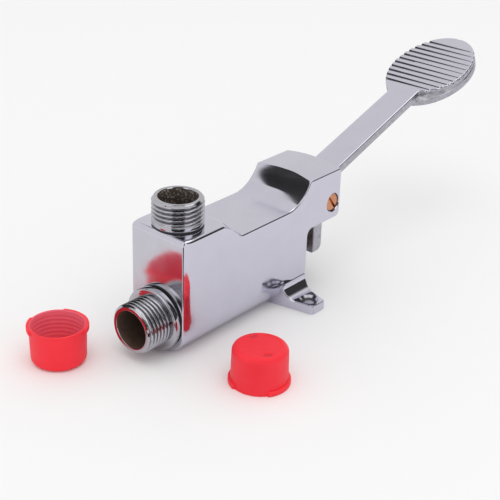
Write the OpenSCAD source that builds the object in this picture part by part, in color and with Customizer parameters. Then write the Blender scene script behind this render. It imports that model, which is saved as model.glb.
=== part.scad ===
// Foot pedal tap valve: a cast brass floor valve with a screwed inlet at the front, a screwed
// outlet on top and a spring-closed stem that a hinged pedal pushes in from behind.
// Millimetres. +X runs from the inlet to the pedal, +Z is up. The origin lies on the floor,
// midway between the two floor screws.

/* [Body] */
// Width of the casting across its sides
body_w = 30; // [29:0.5:36]
// Front face ahead of the floor screws
front_reach = 68; // [64:0.5:80]
// Rear face behind the floor screws
rear_reach = 8.5; // [7:0.5:10]
// Height of the raised block that carries the outlet
block_top = 51.2; // [49:0.1:58]
// Length of the raised block along its top
block_l = 25; // [24:0.5:28]
// Rounding of the block's rear corners, seen from above
block_corner = 6; // [3:0.5:8]
// Length of the slope from the block down to the saddle
ramp_l = 8.5; // [6:0.5:12]
// Height of the low saddle between block and hood
saddle_top = 43.4; // [42.5:0.1:46]
// Height of the hood at its side edges
hood_top = 53; // [52:0.1:58]
// Rise of the hood's arched top at the middle
hood_crown = 1.5; // [0.5:0.1:3]
// Rear end of the hood behind the floor screws
hood_reach = 30.4; // [29.6:0.1:34]
// Length of the hood's top
hood_l = 19.5; // [18:0.5:22]
// Radius of the hollow curve in front of the hood
scoop_r = 17; // [14:0.1:20]
// Thickness of the hood's roof at its side edges
hood_plate = 4.5; // [3:0.1:5]
// Height of the lower edge of the hood's cheeks
cheek_bottom = 30.7; // [29:0.1:32]
// Rounding of the cheeks' lower rear corners
cheek_round = 2.5; // [1:0.1:4]
// Radius of the hollow corner under the cheeks
cheek_cove = 3; // [1:0.1:4]
// Rounding of the two long lower edges
foot_round = 12.5; // [4:0.1:13]
// Radius of the soft rounding beside the upright front edges
front_soft = 14; // [10:0.5:20]
// Length of that rounding along the sides
front_soft_l = 6; // [3:0.1:7]
// Rounding of the block's upper front edge
brow_round = 2; // [0.5:0.1:3]

/* [Floor ears] */
// Distance between the two floor screws
hole_spacing = 48; // [46:0.5:56]
// Diameter of the floor screw holes
hole_d = 4.5; // [3.5:0.1:5.5]
// Diameter of the countersinks
countersink_d = 8; // [7:0.1:9]
// Thickness of the ears
ear_t = 4; // [3:0.1:6]
// Ear beyond the middle of its hole
ear_margin = 5.5; // [4.6:0.1:8]
// Width of the ear at its end
ear_end_w = 9.2; // [9:0.1:12]
// Rounding of the ear's outer corners
ear_round = 1.8; // [0.5:0.1:3]
// Ear's front edge at its root, ahead of the floor screws
ear_root = 10; // [8:0.5:16]
// Radius of the hollow gusset between ear and body
gusset_r = 6; // [3:0.1:7]

/* [Ports] */
// Outside diameter of both pipe threads
thread_d = 20.955; // [20:0.005:23]
// Bore of both nipples
port_d = 15.9; // [12:0.1:16.4]
// Length of the inlet thread
inlet_thread_l = 11.1; // [8:0.1:16]
// Diameter of the collar behind the inlet thread
collar_d = 26.6; // [25:0.1:27.5]
// Thickness of that collar
collar_t = 3; // [2:0.1:5]
// Length of the outlet thread
outlet_thread_l = 9.2; // [7:0.1:14]
// Height of the plain ring below the outlet thread
outlet_ring_h = 2; // [1:0.1:4]
// Outlet axis behind the front face
outlet_in = 11.6; // [11.2:0.1:12.2]
// Diameter of the nipples' screwed-in ends
spigot_d = 18; // [17.5:0.1:19]
// Screwed-in length of the inlet nipple
inlet_depth = 12; // [8:0.5:13]
// Screwed-in length of the outlet nipple
outlet_depth = 10; // [6:0.5:11]
// Thickness of the sealing washers under the nipples
washer_t = 0.6; // [0.4:0.1:1.2]
// Water hole through the end of the inlet nipple
spring_seat_d = 10; // [8:0.1:11]
// Thickness of that end, which carries the spring
spring_seat_t = 2; // [1:0.1:3]

/* [Valve] */
// Height of the inlet and stem axis
stem_z = 14; // [13.5:0.1:16]
// Diameter of the stem
stem_d = 6; // [5:0.1:7]
// Valve seat ahead of the floor screws
seat_back = 39; // [36:0.1:40]
// Diameter of the seat's hole
seat_d = 10; // [9.8:0.1:11]
// Height of the seat's raised lip
seat_lip = 1; // [0.6:0.1:1.5]
// Thickness of the seat ring behind its lip
seat_t = 5; // [3:0.1:7]
// Thickness of the rubber seat washer
rubber_t = 2.5; // [2:0.1:3.5]
// Diameter of the rubber seat washer
rubber_d = 14; // [13.5:0.1:14.4]
// Thickness of the disc that holds the rubber
disc_t = 3.5; // [2.5:0.1:4]
// Diameter of that disc
disc_d = 15.6; // [15.2:0.1:16.2]
// Diameter of the stem's threaded front end
stem_end_d = 4.8; // [4:0.1:5]
// Width across flats of the nut on the stem
disc_nut_af = 8; // [7:0.1:9]
// Thickness of that nut
disc_nut_t = 3.2; // [2:0.1:3.5]
// Middle diameter of the closing spring
spring_d = 12.6; // [12:0.1:13.2]
// Wire of the closing spring
spring_wire = 1.1; // [0.8:0.1:1.3]
// Turns of the closing spring
spring_turns = 4.5; // [3:0.5:5]
// Chamber behind the seat
chamber_d = 13; // [11:0.1:14]
// Length of that chamber
chamber_l = 19; // [17:0.5:20]
// Diameter of the water way from the chamber to the outlet
way_d = 11; // [8:0.1:11.4]
// Height of the level stretch of that way
way_z = 33; // [32:0.1:33.5]
// Diameter of the well under the outlet
well_d = 15; // [12:0.1:15.6]

/* [Gland] */
// Diameter of the packing bore behind the body
packing_d = 12; // [11:0.1:13]
// Length of the packing bore
packing_l = 7; // [6.6:0.1:8]
// Thread of the gland nut
gland_d = 14; // [13.4:0.1:16]
// Screwed-in length of the gland nut
gland_l = 7.5; // [5:0.1:9]
// Width across flats of the gland nut's head
gland_af = 17; // [16.5:0.1:19]
// Thickness of that head
gland_head = 3.6; // [2.5:0.1:5]
// Thickness of the washer that presses on the packing
gland_washer_t = 1; // [0.6:0.1:1]

/* [Pedal] */
// Pivot behind the floor screws
pivot_x = 25.4; // [25:0.1:26]
// Height of the pivot
pivot_z = 38.3; // [37.6:0.1:39.4]
// Shank diameter of the pivot screw
pivot_d = 6; // [5:0.1:6.6]
// Head diameter of the pivot screw
pivot_head_d = 7.6; // [7:0.1:8.6]
// Head thickness of the pivot screw
pivot_head_t = 2.4; // [1.5:0.1:3]
// Depth of the screw head below the cheek
pivot_sink = 0.6; // [0.2:0.1:1]
// Direction of the screwdriver slot
slot_turn = -51.5; // [-90:0.5:90]
// Gap between the cheeks
slot_w = 16; // [15:0.1:18]
// Wall of the pivot bush
bush_wall = 1.5; // [1:0.1:2]
// Diameter of the pedal's hub
hub_d = 16.4; // [15:0.1:18]
// Room between the hub and each cheek
side_gap = 0.4; // [0.3:0.05:0.7]
// Rise of the resting pedal
arm_tilt = 18.4; // [15:0.1:20]
// Top of the arm above the pivot, square to the arm
arm_rise = 5.5; // [4.5:0.1:6.4]
// Thickness of the arm
arm_t = 4; // [3.4:0.1:5]
// Width of the arm at the hood
arm_w = 14.4; // [12:0.1:14.6]
// Width of the arm at the pad
arm_end_w = 13.6; // [11:0.1:16]
// Pivot to the middle of the pad
pad_reach = 100.6; // [80:0.1:130]
// Length of the oval pad
pad_l = 51.8; // [40:0.1:64]
// Width of the oval pad
pad_w = 37.8; // [30:0.1:50]
// Thickness of the pad
pad_t = 6.4; // [5:0.1:7.6]
// Ledge at the pad's parting line
pad_ledge = 0.5; // [0.2:0.1:1]
// Grooves across the pad
groove_n = 11; // [5:1:12]
// Distance from groove to groove
groove_pitch = 3.6; // [3:0.1:4]
// Width of a groove
groove_w = 2.2; // [1:0.1:2.8]
// Depth of a groove
groove_depth = 0.9; // [0.4:0.1:1.4]
// Thickness of the tail that hangs to the stem
tail_t = 6; // [4:0.1:7]
// Width of the tail
tail_w = 14; // [10:0.1:14.6]
// Tail's front face ahead of the pivot
tail_front = 1.6; // [0:0.1:3]
// Tail below the stem axis
tail_below = 2.6; // [2:0.1:5]
// Rounding of the tail's lower edges
tail_round = 1.8; // [0.5:0.1:1.9]

/* [Caps] */
// Height of a thread cap
cap_h = 16; // [14:0.5:20]
// Wall of a cap
cap_wall = 0.8; // [0.6:0.1:1.5]
// Rounding of a cap's closed end
cap_round = 2.2; // [1:0.1:3]
// Rim tabs beyond the cap's side
cap_tab = 0.9; // [0.5:0.1:2]
// Height of the rim tabs
cap_tab_h = 2.2; // [1:0.1:4]
// Sweep of the long rim tab round the cap
cap_tab_turn = 107; // [40:1:140]
// Start of the short rim tab after the start of the long one
cap_tab_lag = 178; // [150:1:220]
// Sweep of the short rim tab
cap_tab_short = 58; // [30:1:80]
// Diameter of the two dimples in the closed end
dimple_d = 3; // [1:0.1:3.5]
// Dimples away from the middle of the closed end
dimple_out = 7.6; // [4:0.1:7.6]
// Depth of the dimples
dimple_deep = 0.3; // [0.1:0.1:0.6]
// Direction of the dimples after the start of the long rim tab
dimple_turn = 101; // [0:1:180]
// Inlet cap ahead of the floor screws
inlet_cap_back = 101; // [98:0.5:130]
// Inlet cap to the side of the inlet
inlet_cap_side = 21.7; // [15:0.1:40]
// Inlet cap turned round its axis
inlet_cap_turn = -70; // [-180:1:180]
// Outlet cap ahead of the floor screws
outlet_cap_back = 59; // [40:0.5:80]
// Outlet cap to the side of the body
outlet_cap_side = 46; // [36:0.1:70]
// Outlet cap turned round its axis
outlet_cap_turn = -17; // [-180:1:180]

/* [Clearances] */
// Radial room of screwed and pressed joints
screw_clear = 0.05; // [0.02:0.01:0.1]
// Radial running clearance of stem and pivot
run_clear = 0.04; // [0.02:0.01:0.08]
// Gap between the resting tail and the stem
tail_gap = 0.15; // [0.1:0.05:0.4]
// Gap between the rubber and the seat's lip
seat_gap = 0.08; // [0.05:0.01:0.2]

/* [Hidden] */
$fn = 64;
eps = 0.01;
big = 400;

front_x = -front_reach;
block_end = front_x + block_l;
corner_x = block_end - block_corner;
corner_y = body_w / 2 - block_corner;
hood_front = hood_reach - hood_l;
hood_peak = hood_top + hood_crown;
hood_under = hood_top - hood_plate;
crown_r = (body_w * body_w / 4 + hood_crown * hood_crown) / (2 * hood_crown);
slot_front = rear_reach + cheek_cove;

hole_y = hole_spacing / 2;
ear_end = hole_y + ear_margin;

outlet_x = front_x + outlet_in;
spigot_end = front_x + inlet_depth;
inlet_rim = front_x - washer_t - collar_t - inlet_thread_l;
outlet_seat = block_top + washer_t;
outlet_rim = outlet_seat + outlet_ring_h + outlet_thread_l;
spigot_bore = spigot_d + 2 * screw_clear;
washer_d = collar_d - 1;

seat_x = -seat_back;
rubber_x = seat_x - seat_gap;
disc_x = rubber_x - rubber_t;
disc_nut_x = disc_x - disc_t;
stem_front = disc_nut_x - disc_nut_t - 1;
disc_rim = rubber_t / 2;
shoulder_d = (stem_d + seat_d) / 2;
shoulder_t = 1.6;
chamber_x = seat_x + seat_lip + seat_t;
riser_x = chamber_x + chamber_l / 2;

packing_x = rear_reach - gland_l - packing_l;
gland_x = rear_reach - gland_l;
packing_ring = (packing_d - stem_d) / 2 - 2 * run_clear;
packing_mid = (packing_d + stem_d) / 4;

hub_w = slot_w - 2 * side_gap;
bush_d = pivot_d + 2 * (run_clear + bush_wall);
tail_x = pivot_x - tail_front;
stem_tip = tail_x - tail_gap;
arm_bottom = arm_rise - arm_t;
pad_bottom = arm_rise - pad_t;
pad_blend = 6;
pad_points = 20;

cap_in_d = thread_d + 0.2;
cap_out_d = cap_in_d + 2 * cap_wall;

chrome = "#C6C4CE";
raw_brass = "#B8935A";
copper = "#D68C69";
black_rubber = "#2A2A2C";
spring_steel = "#8C8E92";
cap_red = "#F53746";

// A round bar along the stem axis from x0 to x1.
module bar(x0, x1, d) {
  translate([x0, 0, stem_z])
    rotate([0, 90, 0])
      cylinder(h = x1 - x0, d = d);
}

// A ring along the stem axis from x0 to x1.
module ring(x0, x1, d, bore) {
  difference() {
    bar(x0, x1, d);
    bar(x0 - 1, x1 + 1, bore);
  }
}

// A six-sided bar along the stem axis, measured across its flats.
module hex_bar(x0, x1, across) {
  translate([x0, 0, stem_z])
    rotate([0, 90, 0])
      cylinder(h = x1 - x0, d = across / cos(30), $fn = 6);
}

// A round bar along the pivot from y0 to y1.
module pivot_bar(y0, y1, d) {
  translate([pivot_x, y1, pivot_z])
    rotate([90, 0, 0])
      cylinder(h = y1 - y0, d = d);
}

// The hollow corner piece of radius r that fills the corner at the origin.
module cove(r) {
  difference() {
    square(r);
    translate([r, r])
      circle(r);
  }
}

// Side view of the casting without its block: saddle, hollow rise, hood and cheeks.
module side_view() {
  difference() {
    union() {
      polygon([
        [front_x, 0],
        [front_x, saddle_top],
        [hood_front, saddle_top],
        [hood_front, hood_peak],
        [hood_reach, hood_peak],
        [hood_reach, cheek_bottom],
        [rear_reach, cheek_bottom],
        [rear_reach, 0]
      ]);
      translate([hood_front, saddle_top])
        mirror([1, 0])
          cove(scoop_r);
      translate([rear_reach, cheek_bottom])
        mirror([0, 1])
          cove(cheek_cove);
    }
    translate([hood_reach, cheek_bottom])
      mirror([1, 0])
        cove(cheek_round);
  }
}

// Raised block under the outlet, with a slope that runs round its rear corners as cones.
module block() {
  block_h = block_top - saddle_top;
  rotate([90, 0, 0])
    linear_extrude(body_w, center = true)
      difference() {
        translate([front_x, 0])
          square([corner_x - front_x, block_top]);
        translate([front_x, block_top])
          mirror([0, 1])
            cove(brow_round);
      }
  rotate([90, 0, 0])
    linear_extrude(2 * corner_y, center = true)
      polygon([
        [corner_x, saddle_top - 1],
        [corner_x, block_top],
        [block_end, block_top],
        [block_end + ramp_l, saddle_top],
        [block_end + ramp_l, saddle_top - 1]
      ]);
  for (s = [-1, 1])
    translate([corner_x, s * corner_y, saddle_top])
      cylinder(h = block_h, r1 = block_corner + ramp_l, r2 = block_corner);
}

// End view of the casting: rounded foot, flat sides and the arched top.
module end_view() {
  intersection() {
    union() {
      for (s = [-1, 1])
        translate([s * (body_w / 2 - foot_round), foot_round])
          circle(foot_round);
      translate([foot_round - body_w / 2, 0])
        square([body_w - 2 * foot_round, 2 * foot_round]);
      translate([-body_w / 2, foot_round])
        square([body_w, hood_peak]);
    }
    translate([0, hood_peak - crown_r])
      circle(crown_r, $fn = 180);
  }
}

// Plan of the casting, softly rounded beside its front edges.
module plan_view() {
  difference() {
    translate([front_x, -body_w / 2])
      square([big, body_w]);
    for (s = [0, 1])
      mirror([0, s])
        translate([front_x, -body_w / 2])
          difference() {
            translate([-1, -1])
              square(front_soft_l + 1);
            translate([front_soft_l, front_soft])
              circle(front_soft, $fn = 180);
          }
  }
}

// Plan of one ear, from under the body out to its end.
module ear_plan() {
  inner = ear_end - ear_round;
  hull_w = ear_end_w / 2;
  polygon([
    [-ear_root, 0],
    [-hull_w, -inner],
    [ear_round - hull_w, -ear_end],
    [hull_w - ear_round, -ear_end],
    [hull_w, -inner],
    [rear_reach, -body_w / 2],
    [rear_reach, 0]
  ]);
  for (s = [-1, 1])
    translate([s * (hull_w - ear_round), -inner])
      circle(ear_round);
}

// One ear with its hollow gusset against the side of the body.
module ear() {
  linear_extrude(ear_t)
    ear_plan();
  intersection() {
    linear_extrude(ear_t + gusset_r)
      ear_plan();
    translate([-big / 2, -body_w / 2, ear_t])
      rotate([90, 0, 90])
        linear_extrude(big)
          mirror([1, 0])
            cove(gusset_r);
  }
  // Root that carries the ear under the rounded foot.
  intersection() {
    linear_extrude(ear_t + gusset_r)
      ear_plan();
    translate([-big / 2, -body_w / 2, 0])
      cube([big, body_w / 2, ear_t + gusset_r]);
  }
}

// Countersunk floor screw hole.
module floor_hole() {
  sink = (countersink_d - hole_d) / 2;
  translate([0, -hole_y, -1]) {
    cylinder(h = ear_t + gusset_r + 2, d = hole_d);
    translate([0, 0, 1 + ear_t - sink])
      cylinder(h = sink, d1 = hole_d, d2 = countersink_d);
    translate([0, 0, 1 + ear_t - eps])
      cylinder(h = gusset_r, d = countersink_d);
  }
}

// Every bore of the casting, from the inlet back to the gland and up to the outlet.
module water_way() {
  bar(front_x - 1, chamber_x, spigot_bore);
  bar(chamber_x - eps, chamber_x + chamber_l, chamber_d);
  bar(chamber_x, rear_reach, stem_d + 2 * run_clear);
  bar(packing_x, rear_reach, packing_d);
  bar(gland_x, rear_reach + 1, gland_d + 2 * screw_clear);
  translate([riser_x, 0, stem_z])
    cylinder(h = way_z - stem_z, d = way_d);
  translate([riser_x, 0, way_z])
    sphere(d = way_d);
  translate([outlet_x, 0, way_z])
    rotate([0, 90, 0])
      cylinder(h = riser_x - outlet_x, d = way_d);
  translate([outlet_x, 0, way_z - way_d / 2])
    cylinder(h = block_top - way_z, d = well_d);
  translate([outlet_x, 0, block_top - outlet_depth])
    cylinder(h = outlet_depth + 1, d = spigot_bore);
}

// The one-piece casting.
module valve_body() {
  color(chrome)
    difference() {
      union() {
        intersection() {
          union() {
            rotate([90, 0, 0])
              linear_extrude(body_w, center = true)
                side_view();
            block();
          }
          translate([front_x - 1, 0, 0])
            rotate([90, 0, 90])
              linear_extrude(front_reach + hood_reach + 2)
                end_view();
          linear_extrude(hood_peak + 1)
            plan_view();
        }
        ear();
        mirror([0, 1, 0])
          ear();
      }
      water_way();
      floor_hole();
      mirror([0, 1, 0])
        floor_hole();
      translate([slot_front, -slot_w / 2, 0])
        cube([hood_reach, slot_w, hood_under]);
      pivot_bar(-body_w, body_w, pivot_d + 2 * screw_clear);
      pivot_bar(-body_w, pivot_sink + pivot_head_t - body_w / 2, pivot_head_d + 0.6);
    }
}

// Inlet nipple: pipe thread, collar and screwed-in end, which carries the spring.
module inlet_nipple() {
  color(chrome)
    difference() {
      union() {
        bar(inlet_rim, front_x - washer_t - collar_t, thread_d);
        bar(front_x - washer_t - collar_t - eps, front_x - washer_t, collar_d);
        bar(front_x - washer_t - eps, spigot_end, spigot_d);
      }
      bar(inlet_rim - 1, spigot_end - spring_seat_t, port_d);
      bar(inlet_rim, spigot_end + 1, spring_seat_d);
    }
}

// Flat washer between the inlet collar and the front face.
module inlet_washer() {
  color(black_rubber)
    ring(front_x - washer_t, front_x, washer_d, spigot_bore);
}

// Outlet nipple: pipe thread over a plain ring and a screwed-in end.
module outlet_nipple() {
  color(chrome)
    translate([outlet_x, 0, 0])
      difference() {
        union() {
          translate([0, 0, outlet_seat])
            cylinder(h = outlet_rim - outlet_seat, d = thread_d);
          translate([0, 0, block_top - outlet_depth])
            cylinder(h = outlet_depth + washer_t + eps, d = spigot_d);
        }
        translate([0, 0, block_top - outlet_depth - 1])
          cylinder(h = outlet_rim, d = port_d);
      }
}

// Flat washer under the outlet nipple.
module outlet_washer() {
  color(black_rubber)
    translate([outlet_x, 0, block_top])
      difference() {
        cylinder(h = washer_t, d = thread_d - 0.4);
        translate([0, 0, -1])
          cylinder(h = washer_t + 2, d = spigot_bore);
      }
}

// Seat ring pressed to the end of the inlet bore, with a raised lip for the rubber.
module seat_ring() {
  color(raw_brass)
    union() {
      ring(seat_x + seat_lip, chamber_x, spigot_d, seat_d);
      ring(seat_x, seat_x + seat_lip + eps, seat_d + 2, seat_d);
    }
}

// Points of a ring of wire round one place of the spring.
function wire_ring(turn, x) = [
  for (i = [0:5])
    let (a = i * 60, r = spring_d / 2 + spring_wire / 2 * cos(a))
      [x + spring_wire / 2 * sin(a), r * cos(turn), stem_z + r * sin(turn)]
];

// Closing spring: one unbroken wire from the nipple's end to the disc.
module closing_spring() {
  first = spigot_end + spring_wire / 2 + 0.05;
  last = disc_nut_x - spring_wire / 2 - 0.05;
  steps = round(spring_turns * 12);
  points = [
    for (k = [0:steps])
      each wire_ring(k * 30, first + (last - first) * k / steps)
  ];
  sides = [
    for (k = [0:steps - 1], i = [0:5], half = [0, 1])
      let (p = 6 * k + i, q = 6 * k + (i + 1) % 6)
        half == 0 ? [p, q, q + 6] : [p, q + 6, p + 6]
  ];
  caps = [
    for (i = [1:4], far = [0, 1])
      far == 0 ? [0, i + 1, i] : [6 * steps, 6 * steps + i, 6 * steps + i + 1]
  ];
  echo(least_gap_of_spring = (last - first) / spring_turns - spring_wire);
  color(spring_steel)
    polyhedron(points = points, faces = concat(sides, caps), convexity = 10);
}

// A round rubber ring on the stem whose front side lies at x0.
module packing(x0) {
  color(black_rubber)
    translate([x0 + packing_ring / 2, 0, stem_z])
      rotate([0, 90, 0])
        rotate_extrude()
          translate([packing_mid, 0])
            circle(d = packing_ring, $fn = 32);
}

// Front one of the two rings that seal the stem.
module front_packing() {
  packing(packing_x + run_clear);
}

// Rear one of those rings, against the gland washer.
module rear_packing() {
  packing(packing_x + packing_ring + 2 * run_clear);
}

// Washer between the packing and the gland nut.
module gland_washer() {
  color(raw_brass)
    ring(gland_x - gland_washer_t, gland_x, packing_d - 2 * screw_clear, stem_d + 2 * run_clear);
}

// Gland nut screwed into the rear face.
module gland_nut() {
  color(raw_brass)
    difference() {
      union() {
        bar(gland_x, rear_reach + eps, gland_d);
        hex_bar(rear_reach, rear_reach + gland_head, gland_af);
      }
      bar(gland_x - 1, rear_reach + gland_head + 1, stem_d + 2 * run_clear);
    }
}

// Slotted screw that carries the pedal between the cheeks.
module pivot_screw() {
  face = pivot_sink - body_w / 2;
  head_end = face + pivot_head_t;
  color(copper)
    difference() {
      union() {
        pivot_bar(face, head_end, pivot_head_d);
        pivot_bar(head_end - eps, body_w / 2 - pivot_sink, pivot_d);
      }
      translate([pivot_x, face, pivot_z])
        rotate([0, -slot_turn, 0])
          cube([2 * pivot_head_d, pivot_head_t, 1], center = true);
    }
}

// Sliding stem with a domed tip for the tail and a shoulder and thread for the disc.
module valve_stem() {
  tip_r = stem_d / 2;
  color(raw_brass)
    union() {
      bar(stem_front, rubber_x, stem_end_d);
      bar(rubber_x - eps, rubber_x + shoulder_t, shoulder_d);
      bar(rubber_x, stem_tip - tip_r, stem_d);
      translate([stem_tip - tip_r, 0, stem_z])
        sphere(d = stem_d);
    }
}

// Brass disc with a rim that holds the rubber.
module valve_disc() {
  color(raw_brass)
    difference() {
      bar(disc_nut_x, disc_x + disc_rim, disc_d);
      bar(disc_x, rubber_x, rubber_d + 2 * screw_clear);
      bar(disc_nut_x - 1, rubber_x, stem_end_d + 2 * screw_clear);
    }
}

// Rubber washer that closes on the seat.
module seat_washer() {
  color(black_rubber)
    ring(disc_x, rubber_x, rubber_d, stem_end_d + 2 * screw_clear);
}

// Nut that clamps disc and rubber on the stem.
module disc_nut() {
  color(raw_brass)
    difference() {
      hex_bar(disc_nut_x - disc_nut_t, disc_nut_x, disc_nut_af);
      bar(disc_nut_x - disc_nut_t - 1, disc_nut_x + 1, stem_end_d + 2 * screw_clear);
    }
}

// Half width of the oval pad at a distance from its middle.
function oval_half(s, l, w) = w / 2 * sqrt(max(0, 1 - pow(2 * s / l, 2)));

// Half width of arm and pad together at x: the oval, flowing into the arm on its near side.
function pedal_half(x, inset) =
  let (
    oval = oval_half(x - pad_reach, pad_l - 2 * inset, pad_w - 2 * inset),
    arm = (arm_w + (arm_end_w - arm_w) * x / pad_reach) / 2 + pad_ledge - inset
  )
  pow(pow(oval, pad_blend) + pow(arm, pad_blend), 1 / pad_blend);

// One side of the pad's outline, from its near end to just before its tip.
function pad_side(inset) = concat(
  [
    for (k = [0:pad_points - 1])
      let (x = pad_reach - pad_l / 2 * (1 - k / pad_points))
        [x, pedal_half(x, inset)]
  ],
  [
    for (k = [0:pad_points - 1])
      let (turn = 90 * k / pad_points)
        [pad_reach + (pad_l / 2 - inset) * sin(turn), (pad_w / 2 - inset) * cos(turn)]
  ]
);

// Both sides of an outline, joined at the pad's tip.
function both_sides(side, inset) = concat(
  side,
  [[pad_reach + pad_l / 2 - inset, 0]],
  [for (k = [len(side) - 1:-1:0]) [side[k][0], -side[k][1]]]
);

// Outline of the pad's lower half.
module pad_plan() {
  polygon(both_sides(pad_side(0), 0));
}

// Outline of the arm and the pad's upper half, which stands back by the ledge.
module pedal_plan() {
  polygon(both_sides(concat([[0, arm_w / 2]], pad_side(pad_ledge)), pad_ledge));
}

// V groove across the pad.
module groove() {
  rotate([90, 0, 0])
    linear_extrude(pad_w + 2, center = true)
      polygon([
        [-groove_w / 2, eps],
        [0, -groove_depth],
        [groove_w / 2, eps]
      ]);
}

// Side view of the tail with its rounded lower edges.
module tail_view() {
  foot = stem_z - tail_below;
  difference() {
    translate([tail_x, foot])
      square([tail_t, pivot_z - foot]);
    translate([tail_x, foot])
      cove(tail_round);
    translate([tail_x + tail_t, foot])
      mirror([1, 0])
        cove(tail_round);
  }
}

// Pedal: hub, arm, oval grooved pad and the tail that pushes the stem.
module pedal_lever() {
  color(chrome)
    difference() {
      union() {
        pivot_bar(-hub_w / 2, hub_w / 2, hub_d);
        translate([pivot_x, 0, pivot_z])
          rotate([0, -arm_tilt, 0]) {
            difference() {
              translate([0, 0, arm_bottom])
                linear_extrude(arm_t)
                  pedal_plan();
              for (k = [0:groove_n - 1])
                translate([pad_reach + (k - (groove_n - 1) / 2) * groove_pitch, 0, arm_rise])
                  groove();
            }
            translate([0, 0, pad_bottom])
              linear_extrude(pad_t / 2)
                pad_plan();
          }
        rotate([90, 0, 0])
          linear_extrude(tail_w, center = true)
            tail_view();
      }
      pivot_bar(-slot_w, slot_w, bush_d + 2 * screw_clear);
    }
}

// Bush pressed into the hub, running on the pivot screw.
module pivot_bush() {
  color(raw_brass)
    difference() {
      pivot_bar(-hub_w / 2, hub_w / 2, bush_d);
      pivot_bar(-slot_w, slot_w, pivot_d + 2 * run_clear);
    }
}

// Side view of half a cap, open at the top, to turn round its axis.
module cap_half() {
  difference() {
    union() {
      translate([0, cap_round])
        square([cap_out_d / 2, cap_h - cap_round]);
      square([cap_out_d / 2 - cap_round, cap_h]);
      translate([cap_out_d / 2 - cap_round, cap_round])
        circle(cap_round, $fn = 32);
    }
    translate([0, 2 * cap_wall])
      square([cap_in_d / 2, cap_h]);
  }
}

// One tab round a cap's rim, over the given angle.
module cap_tab(sweep) {
  root_r = cap_in_d / 2 + cap_wall / 2;
  translate([0, 0, cap_h - cap_tab_h])
    rotate_extrude(angle = sweep)
      translate([root_r, 0])
        square([cap_wall / 2 + cap_tab, cap_tab_h]);
}

// One thread cap, open at the top, with two tabs round its rim and two dimples in its closed end.
module cap() {
  difference() {
    rotate_extrude()
      cap_half();
    for (s = [0, 180])
      rotate([0, 0, dimple_turn + s])
        translate([dimple_out, 0, -1])
          cylinder(h = 1 + dimple_deep, d = dimple_d, $fn = 32);
  }
  cap_tab(cap_tab_turn);
  rotate([0, 0, cap_tab_lag])
    cap_tab(cap_tab_short);
}

// Cap of the inlet, lying open side up beside the inlet.
module inlet_cap() {
  color(cap_red)
    translate([-inlet_cap_back, inlet_cap_side, 0])
      rotate([0, 0, inlet_cap_turn])
        cap();
}

// Cap of the outlet, standing on its rim beside the body.
module outlet_cap() {
  color(cap_red)
    translate([-outlet_cap_back, -outlet_cap_side, cap_h])
      rotate([180, 0, outlet_cap_turn])
        cap();
}

valve_body();
inlet_nipple();
inlet_washer();
outlet_nipple();
outlet_washer();
seat_ring();
closing_spring();
front_packing();
rear_packing();
gland_washer();
gland_nut();
pivot_screw();
valve_stem();
valve_disc();
seat_washer();
disc_nut();
pedal_lever();
pivot_bush();
inlet_cap();
outlet_cap();
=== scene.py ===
# %% [markdown]
# # Foot pedal tap valve
# The real object is a chromed brass floor valve. Water comes in at the screwed nipple in front and leaves at the
# nipple on top, and a foot on the grooved oval pad opens it. Two red thread caps lie beside it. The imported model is
# loaded as a fixed frame in metres, and this file dresses it: fine edges, cut threads, finishes, light and camera.

# %% Load the frame
import math

import bmesh
import bpy
from mathutils import Matrix, Vector
from mathutils.geometry import delaunay_2d_cdt


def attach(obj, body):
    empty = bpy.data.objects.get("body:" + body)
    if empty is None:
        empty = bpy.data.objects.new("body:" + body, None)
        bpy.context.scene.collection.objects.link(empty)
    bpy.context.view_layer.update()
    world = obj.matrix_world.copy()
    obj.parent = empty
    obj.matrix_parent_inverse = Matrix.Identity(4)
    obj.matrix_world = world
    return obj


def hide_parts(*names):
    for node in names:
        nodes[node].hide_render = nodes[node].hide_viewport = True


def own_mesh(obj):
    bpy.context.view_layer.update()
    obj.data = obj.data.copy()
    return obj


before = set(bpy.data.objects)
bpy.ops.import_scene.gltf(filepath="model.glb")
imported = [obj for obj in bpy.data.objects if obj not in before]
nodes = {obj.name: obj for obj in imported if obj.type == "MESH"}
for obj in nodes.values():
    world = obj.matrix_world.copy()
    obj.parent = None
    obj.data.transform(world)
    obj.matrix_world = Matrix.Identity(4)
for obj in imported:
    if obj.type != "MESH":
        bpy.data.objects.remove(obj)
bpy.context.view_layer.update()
scene = bpy.context.scene
scene.view_settings.view_transform = "Standard"
MM = 0.001
quarter = math.pi / 2

# %% [markdown]
# ## Helpers for every material
# Colours are written as the hex values one sees on a screen. A shader wants linear light, so one function converts
# them. A second function adds a shader node with its settings and links in one line, which keeps a node tree
# readable as a list.

# %% Colour and node helpers
def linear(hex_colour):
    """An sRGB hex colour as linear RGBA."""
    parts = [int(hex_colour[i:i + 2], 16) / 255 for i in (1, 3, 5)]
    return [c / 12.92 if c <= 0.04045 else ((c + 0.055) / 1.055) ** 2.4 for c in parts] + [1.0]


def add_node(tree, kind, settings=None, links=None):
    """Adds a node. A setting is an attribute of the node or else a socket; a link is socket: source socket."""
    node = tree.nodes.new(kind)
    for name, value in (settings or {}).items():
        if isinstance(name, str) and hasattr(node, name):
            setattr(node, name, value)
        else:
            node.inputs[name].default_value = value
    for name, source in (links or {}).items():
        tree.links.new(source, node.inputs[name])
    return node


def repeats(size_mm):
    """Texture scale at which a pattern repeats about every size_mm, as object coordinates are in metres."""
    return 1.0 / (size_mm * MM)


def empty_material(name):
    """A material with an empty node tree."""
    material = bpy.data.materials.new(name)
    material.use_nodes = True
    material.node_tree.nodes.clear()
    return material, material.node_tree


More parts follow.
